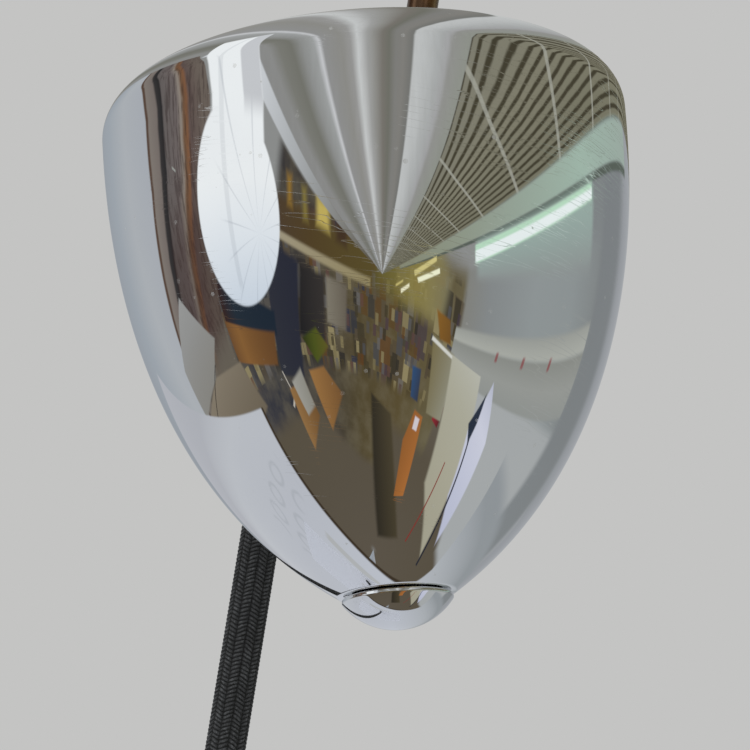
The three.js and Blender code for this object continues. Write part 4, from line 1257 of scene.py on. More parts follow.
    def furniture(self) -> None:
        """The larger things on the floor: table, cartons, boards and a screen."""
        for board in (
            Board("floor", ((-4.1, 0.9), (-2.2, -0.09), (-1.86, 0.28), (-1.89, 1.1), (-2.8, 1.5)),
                  paved((160, 160, 158), (152, 152, 150), (140, 138, 132)), 0.02),
            Board("floor", ((-1.86, 0.24), (-1.58, -0.36), (-1.04, -0.34), (-1.04, 0.4), (-1.82, 1.1)),
                  paved((136, 126, 110), (112, 102, 86)), 0.02),
            thin("floor", (-1.96, 0.15), (-1.62, 0.75), 0.018, (40, 38, 38)),
            thin("back", (-1.30, -1.30), (-0.98, -1.74), 0.03, (190, 184, 172)),
            thin("back", (-1.02, -1.24), (-1.32, -1.72), 0.03, (190, 184, 172)),
            Board("back", ((-1.23, -1.45), (-0.82, -1.14), (-0.70, -1.46), (-1.18, -2.43)),
                  paved((150, 114, 72), (116, 84, 50)), 0.02),
            Board("back", ((-1.10, -1.30), (-0.84, -1.05), (-0.74, -1.36), (-0.96, -1.62)),
                  paved((164, 162, 154), (142, 140, 130)), 0.02),
            Board("back", ((-0.69, -1.00), (-0.47, -0.88), (-0.27, -1.02), (-0.52, -1.55)),
                  paved((158, 116, 68), (120, 86, 52)), 0.015),
            Board("floor", ((0.07, -1.1), (0.30, -0.95), (0.26, -0.10), (0.06, -0.10)),
                  paved((50, 46, 38), (78, 70, 52)), 0.02),
            Board("back", ((0.63, -1.00), (0.78, -1.08), (0.99, -2.80), (0.70, -2.77), (0.55, -1.34)),
                  paved((150, 96, 50), (176, 112, 58)), 0.012),
            Board("back", ((0.66, -1.06), (0.74, -1.10), (0.74, -1.24), (0.66, -1.20)), paved((214, 206, 210)), 0.01),
            Board("back", ((0.67, -0.46), (1.06, -0.59), (1.16, -1.18), (0.82, -1.04)),
                  paved((122, 112, 78), (148, 146, 128)), 0.012),
            thin("back", (1.06, -0.60), (0.67, -0.475), 0.022, (214, 214, 206)),
            Board("back", ((0.67, -0.34), (0.87, -0.38), (0.95, -0.52), (0.77, -0.49)),
                  paved((138, 98, 44), (112, 80, 40)), 0.01),
            Board("floor", ((1.75, -1.72), (2.36, -1.18), (0.94, -0.18), (0.53, 0.10), (0.62, -0.40)),
                  paved((170, 166, 146), (178, 176, 158), (188, 188, 176)), 0.02),
            thin("floor", (0.94, -0.46), (0.35, -0.06), 0.012, (132, 56, 50)),
            Board("floor", ((2.80, -0.93), (1.79, -0.24), (0.73, 0.13), (0.92, -0.18), (1.47, -0.60)),
                  paved((190, 194, 214), (210, 212, 226), (184, 188, 204)), 0.015),
            Board("floor", ((2.80, -0.95), (1.72, -0.58), (1.35, -0.42), (1.52, -0.66)),
                  paved((44, 52, 66), (52, 60, 76)), 0.012),
            thin("floor", (1.44, -0.48), (0.49, 0.16), 0.022, (42, 44, 54)),
        ):
            self.board(board)
        across, up = self.plans["floor"]
        edge = (across * 0.34 + 0.13).least(0.38)
        front = self.bench.step(up - edge, -0.012, 0.012)
        left = self.bench.step((across + 1.10) * 0.847 + (up + 0.26) * 0.531, -0.012, 0.012)
        left = left * (1.0 - across.over(2.2, 0.3))
        top = self._tones(across, (-2.2, 1.6), paved((180, 182, 188), (194, 197, 202), (190, 193, 200),
                                                     (194, 198, 206), (178, 182, 186), (150, 155, 158)))
        lines = self.bench.maths("SQRT", ((across * 4.4 + 0.2).part() - 0.5) ** 2.0
                                 + ((up * 4.4 - 0.1).part() - 0.5) ** 2.0)
        marks = lines.within(0.24, 0.36, 0.05) * across.within(-0.95, -0.6, 0.04) * up.within(0.0, 0.8, 0.05)
        top = self.bench.mix(marks * 0.35, top, paved((158, 163, 168))[0])
        lip = self.bench.step(up - edge, -0.04, -0.025) * left * self.below * across.within(-1.2, 0.3, 0.1)
        self.lay(lip, paved((62, 52, 40))[0])
        self.lay(front * left * self.below, top)
        self.lay(self.below * across.within(-0.42, 0.1, 0.02) * self.bench.step(
            0.03 - abs(up - 0.27 - across * 0.2), -0.006, 0.006) * 0.35, paved((160, 158, 140))[0])

    def side_wall(self) -> None:
        """The right-hand wall: a pale rail with grey wall and ties under it."""
        across, up = self.plans["side"]
        line = up + 0.052 + across * self.RAIL_SLOPE
        here = across.within(-0.72, 1.02, 0.01)
        self.lay(line.within(-0.27, -0.075, 0.01) * here,
                 self._tones(line, (-0.27, -0.075), paved((150, 153, 149), (156, 158, 153), (142, 144, 138))))
        self.lay(line.within(-0.075, 0.0, 0.012) * here,
                 self._tones(line, (-0.075, 0.0), paved((176, 178, 170), (168, 170, 163), (158, 160, 154))))
        for place in self.TIES:
            self.lay(across.within(place - 0.013, place + 0.013, 0.006) * line.within(-0.105, -0.065, 0.008) * 0.7,
                     paved((140, 50, 56))[0])

    def folds(self) -> None:
        """The hung cloth over the lamp, whose folds all run to one point."""
        stops = ((-70, (144, 144, 142)), (-66, (145, 145, 143)), (-62, (127, 127, 120)), (-57, (120, 120, 112)),
                 (-52, (148, 149, 147)), (-46, (164, 166, 165)), (-43.4, (208, 209, 211)), (-41.5, (150, 150, 149)),
                 (-31, (147, 146, 141)), (-25, (158, 157, 155)), (-20.5, (206, 208, 207)), (-18, (196, 197, 196)),
                 (-14, (166, 166, 164)), (-9, (148, 147, 142)), (-3.5, (124, 120, 113)), (2, (115, 115, 106)),
                 (7, (132, 131, 127)), (12, (134, 132, 127)), (17, (120, 120, 116)), (18.3, (200, 202, 201)),
                 (24, (194, 196, 195)), (31, (177, 179, 178)), (34.5, (170, 170, 170)), (36.5, (152, 152, 148)),
                 (43.2, (150, 153, 144)))
        low, high = stops[0][0], stops[-1][0]
        wave = (self.bench.noise(self.ray, 3.0, 2.0) - 0.5) * 1.6
        place = self.bench.spread(self.round + wave, low, high, 0.0, 1.0)
        ramp = self.bench.ramp(place, [((a - low) / (high - low), paved(c)[0]) for a, c in stops])
        fine = self.bench.noise(self.bench.mapped(self.ray, (9.0, 9.0, 1.0)), 4.0, 3.0)
        ramp = self.bench.mix((fine - 0.35) * 0.3, ramp, paved((120, 119, 112))[0])
        self.lay(self.round.within(*self.CLOTH, 0.35), ramp)
        strip = self._tones(self.off, (5, 56), paved(
            (92, 86, 72), (132, 131, 126), (158, 160, 160), (182, 185, 187), (206, 209, 212)))
        self.lay(self.round.within(-74.5, -70, 0.35) * self.off.within(5, 90, 1.5), strip)

    def slats(self) -> None:
        """The slatted ceiling: dark gaps across, thin pale joists along."""
        across = (self.round - 6.0) / self.DEGREES
        shaken = self.bench.maths("TANGENT", across) + (self.bench.noise(self.ray, 9.0, 2.0) - 0.5) * 0.02
        gap = (shaken / self.SLAT_PITCH).part().within(0.26, 0.66, 0.1)
        light = self._tones(self.round, (43, 66), paved((132, 130, 116), (134, 131, 113), (124, 122, 104)))
        ceiling = self.bench.mix(gap, light, paved((70, 66, 52))[0])
        radians = self.off / self.DEGREES
        joist = (radians.cosine() / (radians.sine() * across.cosine() + 0.0001) / self.JOIST_PITCH + 0.5).part()
        ceiling = self.bench.mix(joist.within(0.475, 0.525, 0.01) * 0.75, ceiling, paved((172, 172, 160))[0])
        self.lay(self.round.within(*self.SLATS, 0.3), ceiling)

    def lamps(self) -> None:
        """The green-lit cornice, the long tube and the small far ones."""
        for patch in (
            Patch("view", (66.5, 70.6), (8, 150), paved((140, 142, 120), (154, 166, 152), (166, 188, 174),
                                                       (158, 172, 163)), 0.5),
            Patch("view", (70.5, 71.4), (8, 150), paved((92, 100, 92)), 0.25),
            Patch("view", (71.4, 81), (44, 112), paved((160, 182, 172), (154, 170, 164), (148, 154, 152)), 1.6,
                  "across"),
        ):
            self.patch(patch)
        centre = 150.0 / self.off + 71.0
        reach = 104.0 / self.off
        glow = self.off.within(43, 111, 0.6)
        self.lay(self.bench.step(reach - abs(self.round - centre), -0.3, 0.3) * glow, paved((190, 226, 198))[0])
        core = self.bench.step(reach * 0.62 - abs(self.round - centre - reach * 0.22), -0.25, 0.3)
        self.lay(core * glow, paved((240, 251, 246))[0])
        for corners, colour in ((((0.44, -0.252), (0.65, -0.182), (0.64, -0.162), (0.425, -0.235)), (252, 248, 214)),
                                (((0.40, -0.232), (0.60, -0.140), (0.595, -0.120), (0.39, -0.212)), (214, 202, 136)),
                                (((0.29, -0.318), (0.36, -0.282), (0.355, -0.268), (0.285, -0.302)), (250, 244, 208)),
                                (((0.24, -0.30), (0.30, -0.27), (0.30, -0.262), (0.24, -0.29)), (206, 192, 120))):
            self.board(Board("back", corners, paved(colour), 0.004))

    def umbrella(self) -> None:
        """The white umbrella lamp at the left, with its thin ribs."""
        turned, raised = self.azimuth, self.height
        across, up = (turned + 58.5) / 20.0, (raised + 9.0) / 15.5
        far = (across * across + up * up) ** 0.5
        ribs = (self.bench.maths("ARCTAN2", up + 0.25, across - 0.5) * (7 / math.pi)).part()
        white = self.bench.mix((raised + 26.0) / 22.0, paved((206, 217, 229))[0], paved((244, 247, 250))[0])
        white = self.bench.mix(ribs.within(0.47, 0.53, 0.02) * across.over(-0.3, 0.2) * 0.28, white,
                               paved((140, 148, 160))[0])
        disc = 1.0 - far.over(1.0, 0.02)
        lean = (raised - 7.0).most(0.0)
        top = self.bench.step(turned + 67.0 + lean * 0.5, -0.6, 0.6)
        top = top * self.bench.step(-43.5 - lean * 0.3 - turned, -0.6, 0.6) * raised.within(-8, 42, 1.5)
        self.lay(disc.most(top), white)
        grey = self.bench.step(turned + 52.0 + lean * 0.3, -0.5, 0.5) * top * raised.over(6.0, 2.0)
        self.lay(grey, paved((204, 206, 209))[0])
        seam = self.bench.step(1.1 - abs(turned + 62.5 + lean * 0.1), -0.3, 0.3) * raised.over(-21, 1.0)
        self.lay(seam * disc.most(top) * 0.16, paved((120, 128, 140))[0])

    def finish(self) -> None:
        """Shows the plain backdrop to the camera, soft studio light to dull surfaces, and the room to gloss."""
        bench = self.bench
        path = bench.node("ShaderNodeLightPath")
        room = bench.node("ShaderNodeBackground", None, Color=self.colour, Strength=1.0)
        plain = bench.node("ShaderNodeBackground", None, Color=self.BACKDROP, Strength=1.0)
        right = bench.step(self.sides[0], -0.25, 0.55) * (1.0 - bench.step(self.sides[1], 0.15, 0.7))
        studio = bench.mix(right, tone(240, 241, 243), tone(112, 112, 113))
        soft = bench.node("ShaderNodeBackground", None, Color=studio, Strength=0.98)
        shaded = bench.node("ShaderNodeMixShader", None, Fac=path.outputs["Is Diffuse Ray"])
        bench.join(room.outputs[0], shaded.inputs[1])
        bench.join(soft.outputs[0], shaded.inputs[2])
        both = bench.node("ShaderNodeMixShader", None, Fac=path.outputs["Is Camera Ray"])
        bench.join(shaded.outputs[0], both.inputs[1])
        bench.join(plain.outputs[0], both.inputs[2])
        bench.node("ShaderNodeOutputWorld", None, Surface=both.outputs[0])

    def build(self) -> None:
        """Paints the whole room."""
        self.walls()
        self.clutter()
        self.shelves()
        self.left_side()
        self.side_wall()
        self.furniture()
        self.folds()
        self.slats()
        self.lamps()
        self.umbrella()
        self.finish()


@dataclass
class Studio:
    """Camera, floor and soft lights."""

    camera_at: Point = (-0.11371, -0.41927, 0.16971)
    right: Point = (0.9889, 0.0214, 0.1471)
    upright: Point = (-0.1365, -0.2622, 0.9553)
    lens: float = 124.03
    floor_half: float = 14.0
    floor_drop: float = 0.0005
    card_margin: float = 0.010
    card_lift: float = 0.003

    def camera(self) -> None:
        """A long lens close to the weight, looking up at it."""
        data = bpy.data.cameras.new("view")
        data.lens, data.sensor_width = self.lens, 36.0
        data.clip_start, data.clip_end = 0.01, 50.0
        right, upright = Vector(self.right).normalized(), Vector(self.upright)
        back = right.cross(upright).normalized()
        upright = back.cross(right)
        made = bpy.data.objects.new("view", data)
        made.matrix_world = Matrix.Translation(self.camera_at) @ Matrix((right, upright, back)).transposed().to_4x4()
        bpy.context.scene.collection.objects.link(made)
        bpy.context.scene.camera = made

    def floor(self) -> None:
        """A wide pale floor that the chrome doesn't mirror, since the room has its own table."""
        mesh = bpy.data.meshes.new("floor")
        corners = [(-1, -1), (1, -1), (1, 1), (-1, 1)]
        mesh.from_pydata([(x * self.floor_half, y * self.floor_half, -self.floor_drop) for x, y in corners], [],
                         [(0, 1, 2, 3)])
        mesh.materials.append(Moulding("pale_floor", tone(206, 206, 205), 0.75, 0.0, tone(200, 200, 199),
                                       0.000004).material())
        made = bpy.data.objects.new("floor", mesh)
        bpy.context.scene.collection.objects.link(made)
        made.visible_glossy = False

    def card(self) -> None:
        """A pale card over the coil that only mirrors see, so the weight shows a plain table there."""
        boxes = [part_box(node) for node in ("flex_coil", "flex_end", "plug_body", "plug_pin_front", "plug_pin_rear")]
        west, south = (min(low[axis] for low, _ in boxes) - self.card_margin for axis in (0, 1))
        east, north = (max(high[axis] for _, high in boxes) + self.card_margin for axis in (0, 1))
        level = boxes[0][1][2] + self.card_lift
        ring = [(west, south, level), (east, south, level), (east, north, level), (west, north, level)]
        mesh = bpy.data.meshes.new("coil_card")
        mesh.from_pydata(ring, [], [(0, 1, 2, 3)])
        mesh.materials.append(Moulding("pale_card", tone(214, 217, 226), 0.8, 0.0, tone(211, 214, 223),
                                       0.000004).material())
        made = bpy.data.objects.new("coil_card", mesh)
        bpy.context.scene.collection.objects.link(made)
        made.visible_camera = made.visible_shadow = made.visible_diffuse = False

    def light(self, name: str, place: Point, target: Point, size: float, power: float) -> None:
        """One soft square lamp that shines at a point."""
        data = bpy.data.lights.new(name, "AREA")
        data.shape, data.size, data.energy = "SQUARE", size, power
        made = bpy.data.objects.new(name, data)
        made.location = place
        aim = Vector(target) - Vector(place)
        made.rotation_mode = "QUATERNION"
        made.rotation_quaternion = aim.to_track_quat("-Z", "Y")
        made.visible_glossy = False
        bpy.context.scene.collection.objects.link(made)

    def lights(self) -> None:
        """Three soft lamps: left and front, right, and above behind."""
        middle = (0.1, 0.0, 0.3)
        self.light("left", (-1.6, -1.5, 1.6), middle, 1.4, 7.0)
        self.light("right", (1.8, -1.2, 1.4), middle, 1.6, 3.0)
        self.light("above", (0.2, 1.4, 2.0), middle, 1.6, 4.0)

    def build(self) -> None:
        """Floor, lights and the room."""
        bpy.context.scene.view_settings.view_transform = "Standard"
        self.floor()
        self.card()
        self.lights()
        Room().build()


# ------------------------------------------------------------------ the flex
@dataclass
class Flex:
    """The braided flex: from its outlet down to a coil on the table, and to its plug."""

    radius: float = 3.7
    route: tuple[Point, ...] = (
        (-148.9, 26.3, 347.1), (-149.6, 28.6, 347.7), (-152.0, 36.8, 348.4), (-155.1, 47.0, 345.1),
        (-157.7, 55.5, 338.9), (-159.4, 61.6, 329.9), (-160.2, 64.0, 319.3), (-160.3, 64.2, 290.0),
        (-160.3, 64.2, 240.0), (-160.4, 64.2, 180.0), (-160.4, 64.2, 120.0), (-160.4, 64.2, 70.0),
        (-160.8, 64.2, 40.0), (-163.9, 64.2, 24.0), (-170.9, 64.2, 12.1), (-181.3, 64.2, 5.5),
        (-195.5, 64.2, 3.8))
    end_route: tuple[Point, ...] = (
        (-204.0, 161.3, 11.3), (-197.0, 161.3, 10.7), (-190.2, 161.3, 9.4), (-179.3, 161.3, 8.2),
        (-169.3, 161.3, 7.3), (-159.3, 161.3, 7.0))
    coil_at: Pair = (-223.25, 114.6)
    rest: float = 3.8
    sides: int = 60
    columns: int = 12
    stitch: float = 0.78
    relief: float = 0.28
    fine: Pair = (212.0, 300.0)
    tie_at: float = 38.0

    def _turn(self, degrees: float) -> Point:
        """A point of the wound turns, by how far they have been wound."""
        def ease(start: float, end: float) -> float:
            """0 before a stretch and 1 after it, smoothly."""
            share = min(max((degrees - start) / (end - start), 0.0), 1.0)
            return share * share * (3 - 2 * share)
        out = 50.4 - 7.4 * ease(310, 360) - 7.4 * ease(670, 720)
        out += 3.7 * ease(1025, 1090) + 7.4 * ease(1320, 1382)
        up = self.rest + 7.6 * ease(965, 1028) - 1.2 * ease(1060, 1105)
        up += 1.2 * ease(1300, 1330) - 1.2 * ease(1445, 1475)
        angle = math.radians(-90 - degrees)
        return (self.coil_at[0] + out * math.cos(angle), self.coil_at[1] + out * math.sin(angle), up)

    def centreline(self) -> np.ndarray:
        """The whole route, close enough together to have its length.

        Returns:
            Points in millimetres.
        """
        turns = [self._turn(12.0 * i) for i in range(136)]
        knots = np.array([*self.route, (-209.5, 64.2, 3.8), *turns, *self.end_route])
        ends = np.vstack([2 * knots[0] - knots[1], knots, 2 * knots[-1] - knots[-2]])
        line = [knots[0]]
        for p0, p1, p2, p3 in zip(ends, ends[1:], ends[2:], ends[3:]):
            gaps = [max(np.linalg.norm(b - a), 1e-9) ** 0.5 for a, b in ((p0, p1), (p1, p2), (p2, p3))]
            start = gaps[1] * ((p1 - p0) / gaps[0] - (p2 - p0) / (gaps[0] + gaps[1]) + (p2 - p1) / gaps[1])
            end = gaps[1] * ((p2 - p1) / gaps[1] - (p3 - p1) / (gaps[1] + gaps[2]) + (p3 - p2) / gaps[2])
            for i in range(1, 13):
                t = i / 12
                line.append((2 * t ** 3 - 3 * t * t + 1) * p1 + (t ** 3 - 2 * t * t + t) * start
                            + (3 * t * t - 2 * t ** 3) * p2 + (t ** 3 - t * t) * end)
        return np.array(line)

    def _spaced(self, line: np.ndarray) -> tuple[np.ndarray, np.ndarray]:
        """Ring centres: close together where the braid has relief, and how far along each is."""
        along = np.concatenate([[0], np.cumsum(np.linalg.norm(np.diff(line, axis=0), axis=1))])
        stops, at = [0.0], 0.0
        while at < along[-1]:
            height = np.interp(at, along, line[:, 2])
            at += 0.195 if self.fine[0] < height < self.fine[1] and at < 200 else 1.95
            stops.append(min(at, along[-1]))
        stops = np.unique(stops)
        return np.array([np.interp(stops, along, line[:, k]) for k in range(3)]).T, stops

    def _frames(self, centres: np.ndarray) -> tuple[np.ndarray, np.ndarray]:
        """Two cross directions for each ring, carried along without twist."""
        ahead = np.gradient(centres, axis=0)
        ahead /= np.linalg.norm(ahead, axis=1)[:, None]
        one = np.cross(ahead[0], (0.0, 0.3, 1.0))
        ones = []
        for direction in ahead:
            one = one - direction * one.dot(direction)
            one = one / np.linalg.norm(one)
            ones.append(one)
        ones = np.array(ones)
        return ones, np.cross(ahead, ones)

    def tube(self) -> tuple[bpy.types.Mesh, np.ndarray]:
        """The braided sleeve with its UV map, and the line it follows in metres."""
        line = self.centreline()
        centres, along = self._spaced(line)
        one, two = self._frames(centres)
        turn = np.linspace(0, 2 * np.pi, self.sides, endpoint=False)
        around = turn / (2 * np.pi) * self.columns
        side = (around % 1 - 0.5) * (1 - 4 * ((np.floor(around) * 0.5) % 1))
        phase = (along[:, None] / self.stitch + side[None, :] * 1.3) % 1
        rib = np.sin(phase * np.pi) * np.sin((around % 1) * np.pi)[None, :] ** 0.6
        heights = centres[:, 2]
        shown = ((heights > self.fine[0]) & (heights < self.fine[1]) & (along < 200)).astype(float)
        radius = self.radius - self.relief * 0.5 + self.relief * (rib * shown[:, None] + 0.5 * (1 - shown)[:, None])
        points = (centres[:, None, :] + radius[..., None] * (
            one[:, None, :] * np.cos(turn)[None, :, None] + two[:, None, :] * np.sin(turn)[None, :, None]))
        rings, sides = len(centres), self.sides
        grid = np.arange(rings * sides).reshape(rings, sides)
        after = np.roll(grid, -1, axis=1)
        quads = np.stack([grid[:-1], after[:-1], after[1:], grid[1:]], axis=-1).reshape(-1, 4)
        mesh = bpy.data.meshes.new("flex_braid")
        faces = [tuple(face) for face in quads.tolist()]
        faces += [tuple(grid[0][::-1].tolist()), tuple(grid[-1].tolist())]
        mesh.from_pydata((points.reshape(-1, 3) * MM).tolist(), [], faces)
        share = np.arange(sides) / sides
        uv = np.zeros((len(quads), 4, 2))
        lengths = along * MM
        uv[:, 0, 0] = uv[:, 1, 0] = np.repeat(lengths[:-1], sides)
        uv[:, 2, 0] = uv[:, 3, 0] = np.repeat(lengths[1:], sides)
        uv[:, 0, 1] = uv[:, 3, 1] = np.tile(share, rings - 1)
        uv[:, 1, 1] = uv[:, 2, 1] = np.tile(share + 1 / sides, rings - 1)
        layer = mesh.uv_layers.new(name="Braid")
        layer.data.foreach_set("uv", np.concatenate([uv.ravel(), np.zeros(4 * sides)]))
        shape = bmesh.new()
        shape.from_mesh(mesh)
        if shape.calc_volume(signed=True) < 0:
            bmesh.ops.reverse_faces(shape, faces=shape.faces)
        shape.to_mesh(mesh)
        shape.free()
        return mesh, line * MM

    def tie(self) -> bpy.types.Object:
        """A flat rubber tie round the wound turns."""
        half, top, thick, wide = 11.6, 14.2, 0.9, 4.0
        middle = 43.0
        loop = [(middle - half, 0.3), (middle + half, 0.3), (middle + half + 0.2, 6.0), (middle + half - 3.2, top),
                (middle - half + 3.6, top), (middle - half - 0.2, 6.0), (middle - half, 0.3)]
        line = eased(loop, 3.0, 6)[:-1]
        outer = inset([line[-1], *line, line[0]], thick)[1:-1]
        shape = bmesh.new()
        rows = [[shape.verts.new((x, y, max(z, 0.0))) for x, z in path]
                for path, y in ((line, -wide), (outer, -wide), (outer, wide), (line, wide))]
        count = len(line)
        for k in range(4):
            for i in range(count):
                j = (i + 1) % count
                a, b = rows[k], rows[(k + 1) % 4]
                shape.faces.new((a[i], a[j], b[j], b[i]))
        bmesh.ops.recalc_face_normals(shape, faces=shape.faces)
        place = shift(*self.coil_at) @ turn(self.tie_at, "Z")
        return set_piece("coil_tie", chamfered(shape, 0.2), Coat.rubber, "stand", place)

    def plug(self) -> list[bpy.types.Object]:
        """The slim plug with its ribbed grip and two round pins."""
        length, width, thick, tail = 34.0, 24.0, 13.6, 20.0
        half = width / 2
        outline = [(0, -half * 0.45), (length * 0.35, -half), (length - 2, -half), (length, -half + 2),
                   (length, half - 2), (length - 2, half), (length * 0.35, half), (0, half * 0.45),
                   (0, -half * 0.45)]
        block = plate(eased(outline, 5.0, 6)[:-1], thick)
        block.transform(turn(-90, "X"))
        stem = lathe(eased([(0, -tail), (4.3, -tail), (4.5, -tail + 2), (4.9, -6), (5.6, 3), (0, 3)], 1.0), 48)
        stem.transform(ALONG_X)
        body = chamfered(carve([block, stem]), 1.3, 4)
        rib = plate([(-1.0, -0.5), (0.35, -0.5), (0.35, 0.5), (-1.0, 0.5)], 1.3)
        grips = [RIBS.ring(rib.copy(), 26, 4.7 + 0.1 * i, Coat.rubber) for i in range(5)]
        rib.free()
        for i, grip in enumerate(grips):
            grip.transform(ALONG_X @ shift(z=-15.5 + 2.6 * i))
        tip = Vector(self.end_route[-1])
        place = shift(tip.x + 0.3 + tail, tip.y, tip.z)
        made = [set_piece("plug_grip", together(body, *grips), Coat.rubber, "stand", place, ["plug_body"])]
        for side, node in ((-1, "plug_pin_front"), (1, "plug_pin_rear")):
            outline = eased([(0, length - 6.7), (2, length - 6.7), (2, length + 19), (0, length + 19)], 1.2, 6)
            pin = moved(lathe(outline, 48), ALONG_X, shift(y=side * 9.5))
            made.append(set_piece(node + "_turned", pin, Coat.brass, "stand", place, [node]))
        return made

    def build(self) -> None:
        """The cord first, then its plug and tie."""
        mesh, line = self.tube()
        cord = set_piece("flex_braid", mesh, Coat.textile, None, None, ["flex", "flex_coil", "flex_end"], 180)
        extras = [*self.plug(), self.tie()]
        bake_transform(cord)


RIBS = RibRing()
OGIVE = SpunOgive()


# ------------------------------------------------------------------ the counterweight
@dataclass
class Counterweight:
    """The chromed ogive on the hanger's eye, with its lid and cap."""

    radius: float = 45.0
    shoulder: float = 6.0
    ogive: float = 80.8
    wall: float = 1.2
    mouth: float = 36.0
    cap_radius: float = 9.7
    cap_rise: float = 5.4
    upper_share: float = 0.513
    foot_handle: float = 24.435
    foot_slope: float = 33.9
    sides: int = 256

    @property
    def foot(self) -> float:
        """Height of the cap's seat under the top plane."""
        return -(self.shoulder + self.ogive)

    def _side(self, steps: int) -> list[Pair]:
        """The ogive's line from shoulder to foot."""
        slope = math.radians(self.foot_slope)
        return bend((self.radius, -self.shoulder), (self.radius, -self.shoulder - self.ogive * self.upper_share),
                    (self.cap_radius + self.foot_handle * math.cos(slope),
                     self.foot + self.foot_handle * math.sin(slope)), (self.cap_radius, self.foot), steps)

    def shell(self) -> bmesh.types.BMesh:
        """The spun shell: the ogive from its node tree, its shoulder and its inner wall."""
        outside = OGIVE.make(Radius=self.radius, Start=-self.shoulder, Length=self.ogive,
                             Upper_Handle=self.ogive * self.upper_share, Foot_Radius=self.cap_radius,
                             Foot_Handle=self.foot_handle, Foot_Slope=self.foot_slope, Steps=170,
                             Sides=self.sides + 1, Finish=Coat.chrome.value.material())
        r, s = self.radius, self.shoulder
        over = arc(r - s, -s, s, 90, 0, 24)
        line = [(r, -s), *self._side(24)]
        floor = self.foot + self.wall
        inner = [(x, max(z, floor)) for x, z in inset(line, self.wall)][::-1]
        rest = [(self.cap_radius, self.foot), (2.8, self.foot), (2.8, floor), *inner,
                (self.mouth, -self.wall), (self.mouth, -0.3), (self.mouth + 0.3, 0.0), *over]
        turns = [(math.cos(a), math.sin(a)) for a in (2 * math.pi * i / self.sides for i in range(self.sides))]
        inside = bmesh.new()
        rings = [[inside.verts.new((x * c, x * q, z)) for c, q in turns] for x, z in rest]
        for low, high in zip(rings, rings[1:]):
            for i in range(self.sides):
                j = (i + 1) % self.sides
                inside.faces.new((low[i], low[j], high[j], high[i]))
        shell = together(outside, inside)
        bmesh.ops.remove_doubles(shell, verts=shell.verts, dist=0.002)
        bmesh.ops.recalc_face_normals(shell, faces=shell.faces)
        return shell

    def lid(self) -> bmesh.types.BMesh:
        """The pressed lid, a little dished round its opening."""
        gap, sheet, skirt, rim, hole = 0.3, 0.8, 35.7, 37.0, 16.0
        outline = [(hole, gap), (hole, gap + sheet), (rim - 0.4, gap + sheet), (rim, gap + 0.4), (rim, gap),
                   (skirt, gap), (skirt, -7), (skirt - sheet, -7), (skirt - sheet, gap), (hole, gap)]
        return lathe(eased(outline, 0.38), 160)

    def cap(self) -> bmesh.types.BMesh:
        """The low domed cap, its edge rounded, with a shallow bevel at its seam."""
        r, rise, seat = self.cap_radius, self.cap_rise, self.foot - 0.3
        sphere = (r * r + rise * rise) / (2 * rise)
        half = math.degrees(math.asin(r / sphere))
        dome = arc(0, seat - rise + sphere, sphere, -90 + half, -90, 28)
        outline = [(2.8, seat + 0.0), (r - 0.55, seat), *dome[2:-1], (0, seat - rise), (0, seat - 1.2),
                   (2.8, seat - 1.2), (2.8, seat)]
        return lathe(eased(outline, 0.35), 160)

    def build(self) -> None:
        """Makes the weight's pieces and dresses those that stay."""
        set_piece("weight_shell_spun", self.shell(), Coat.chrome, "weight", PLACES.weight, ["weight_shell"], 40)
        set_piece("weight_lid_pressed", self.lid(), Coat.chrome, "weight", PLACES.weight, ["weight_lid"])
        set_piece("weight_cap_turned", self.cap(), Coat.cap, "weight", PLACES.weight, ["weight_cap"], 50)
        for node, coat in (("weight_filling", Coat.cast_iron), ("weight_stud", Coat.steel),
                           ("weight_pin", Coat.steel), ("weight_washer_front", Coat.fibre),
                           ("weight_washer_rear", Coat.fibre)):
            dress(node, coat)


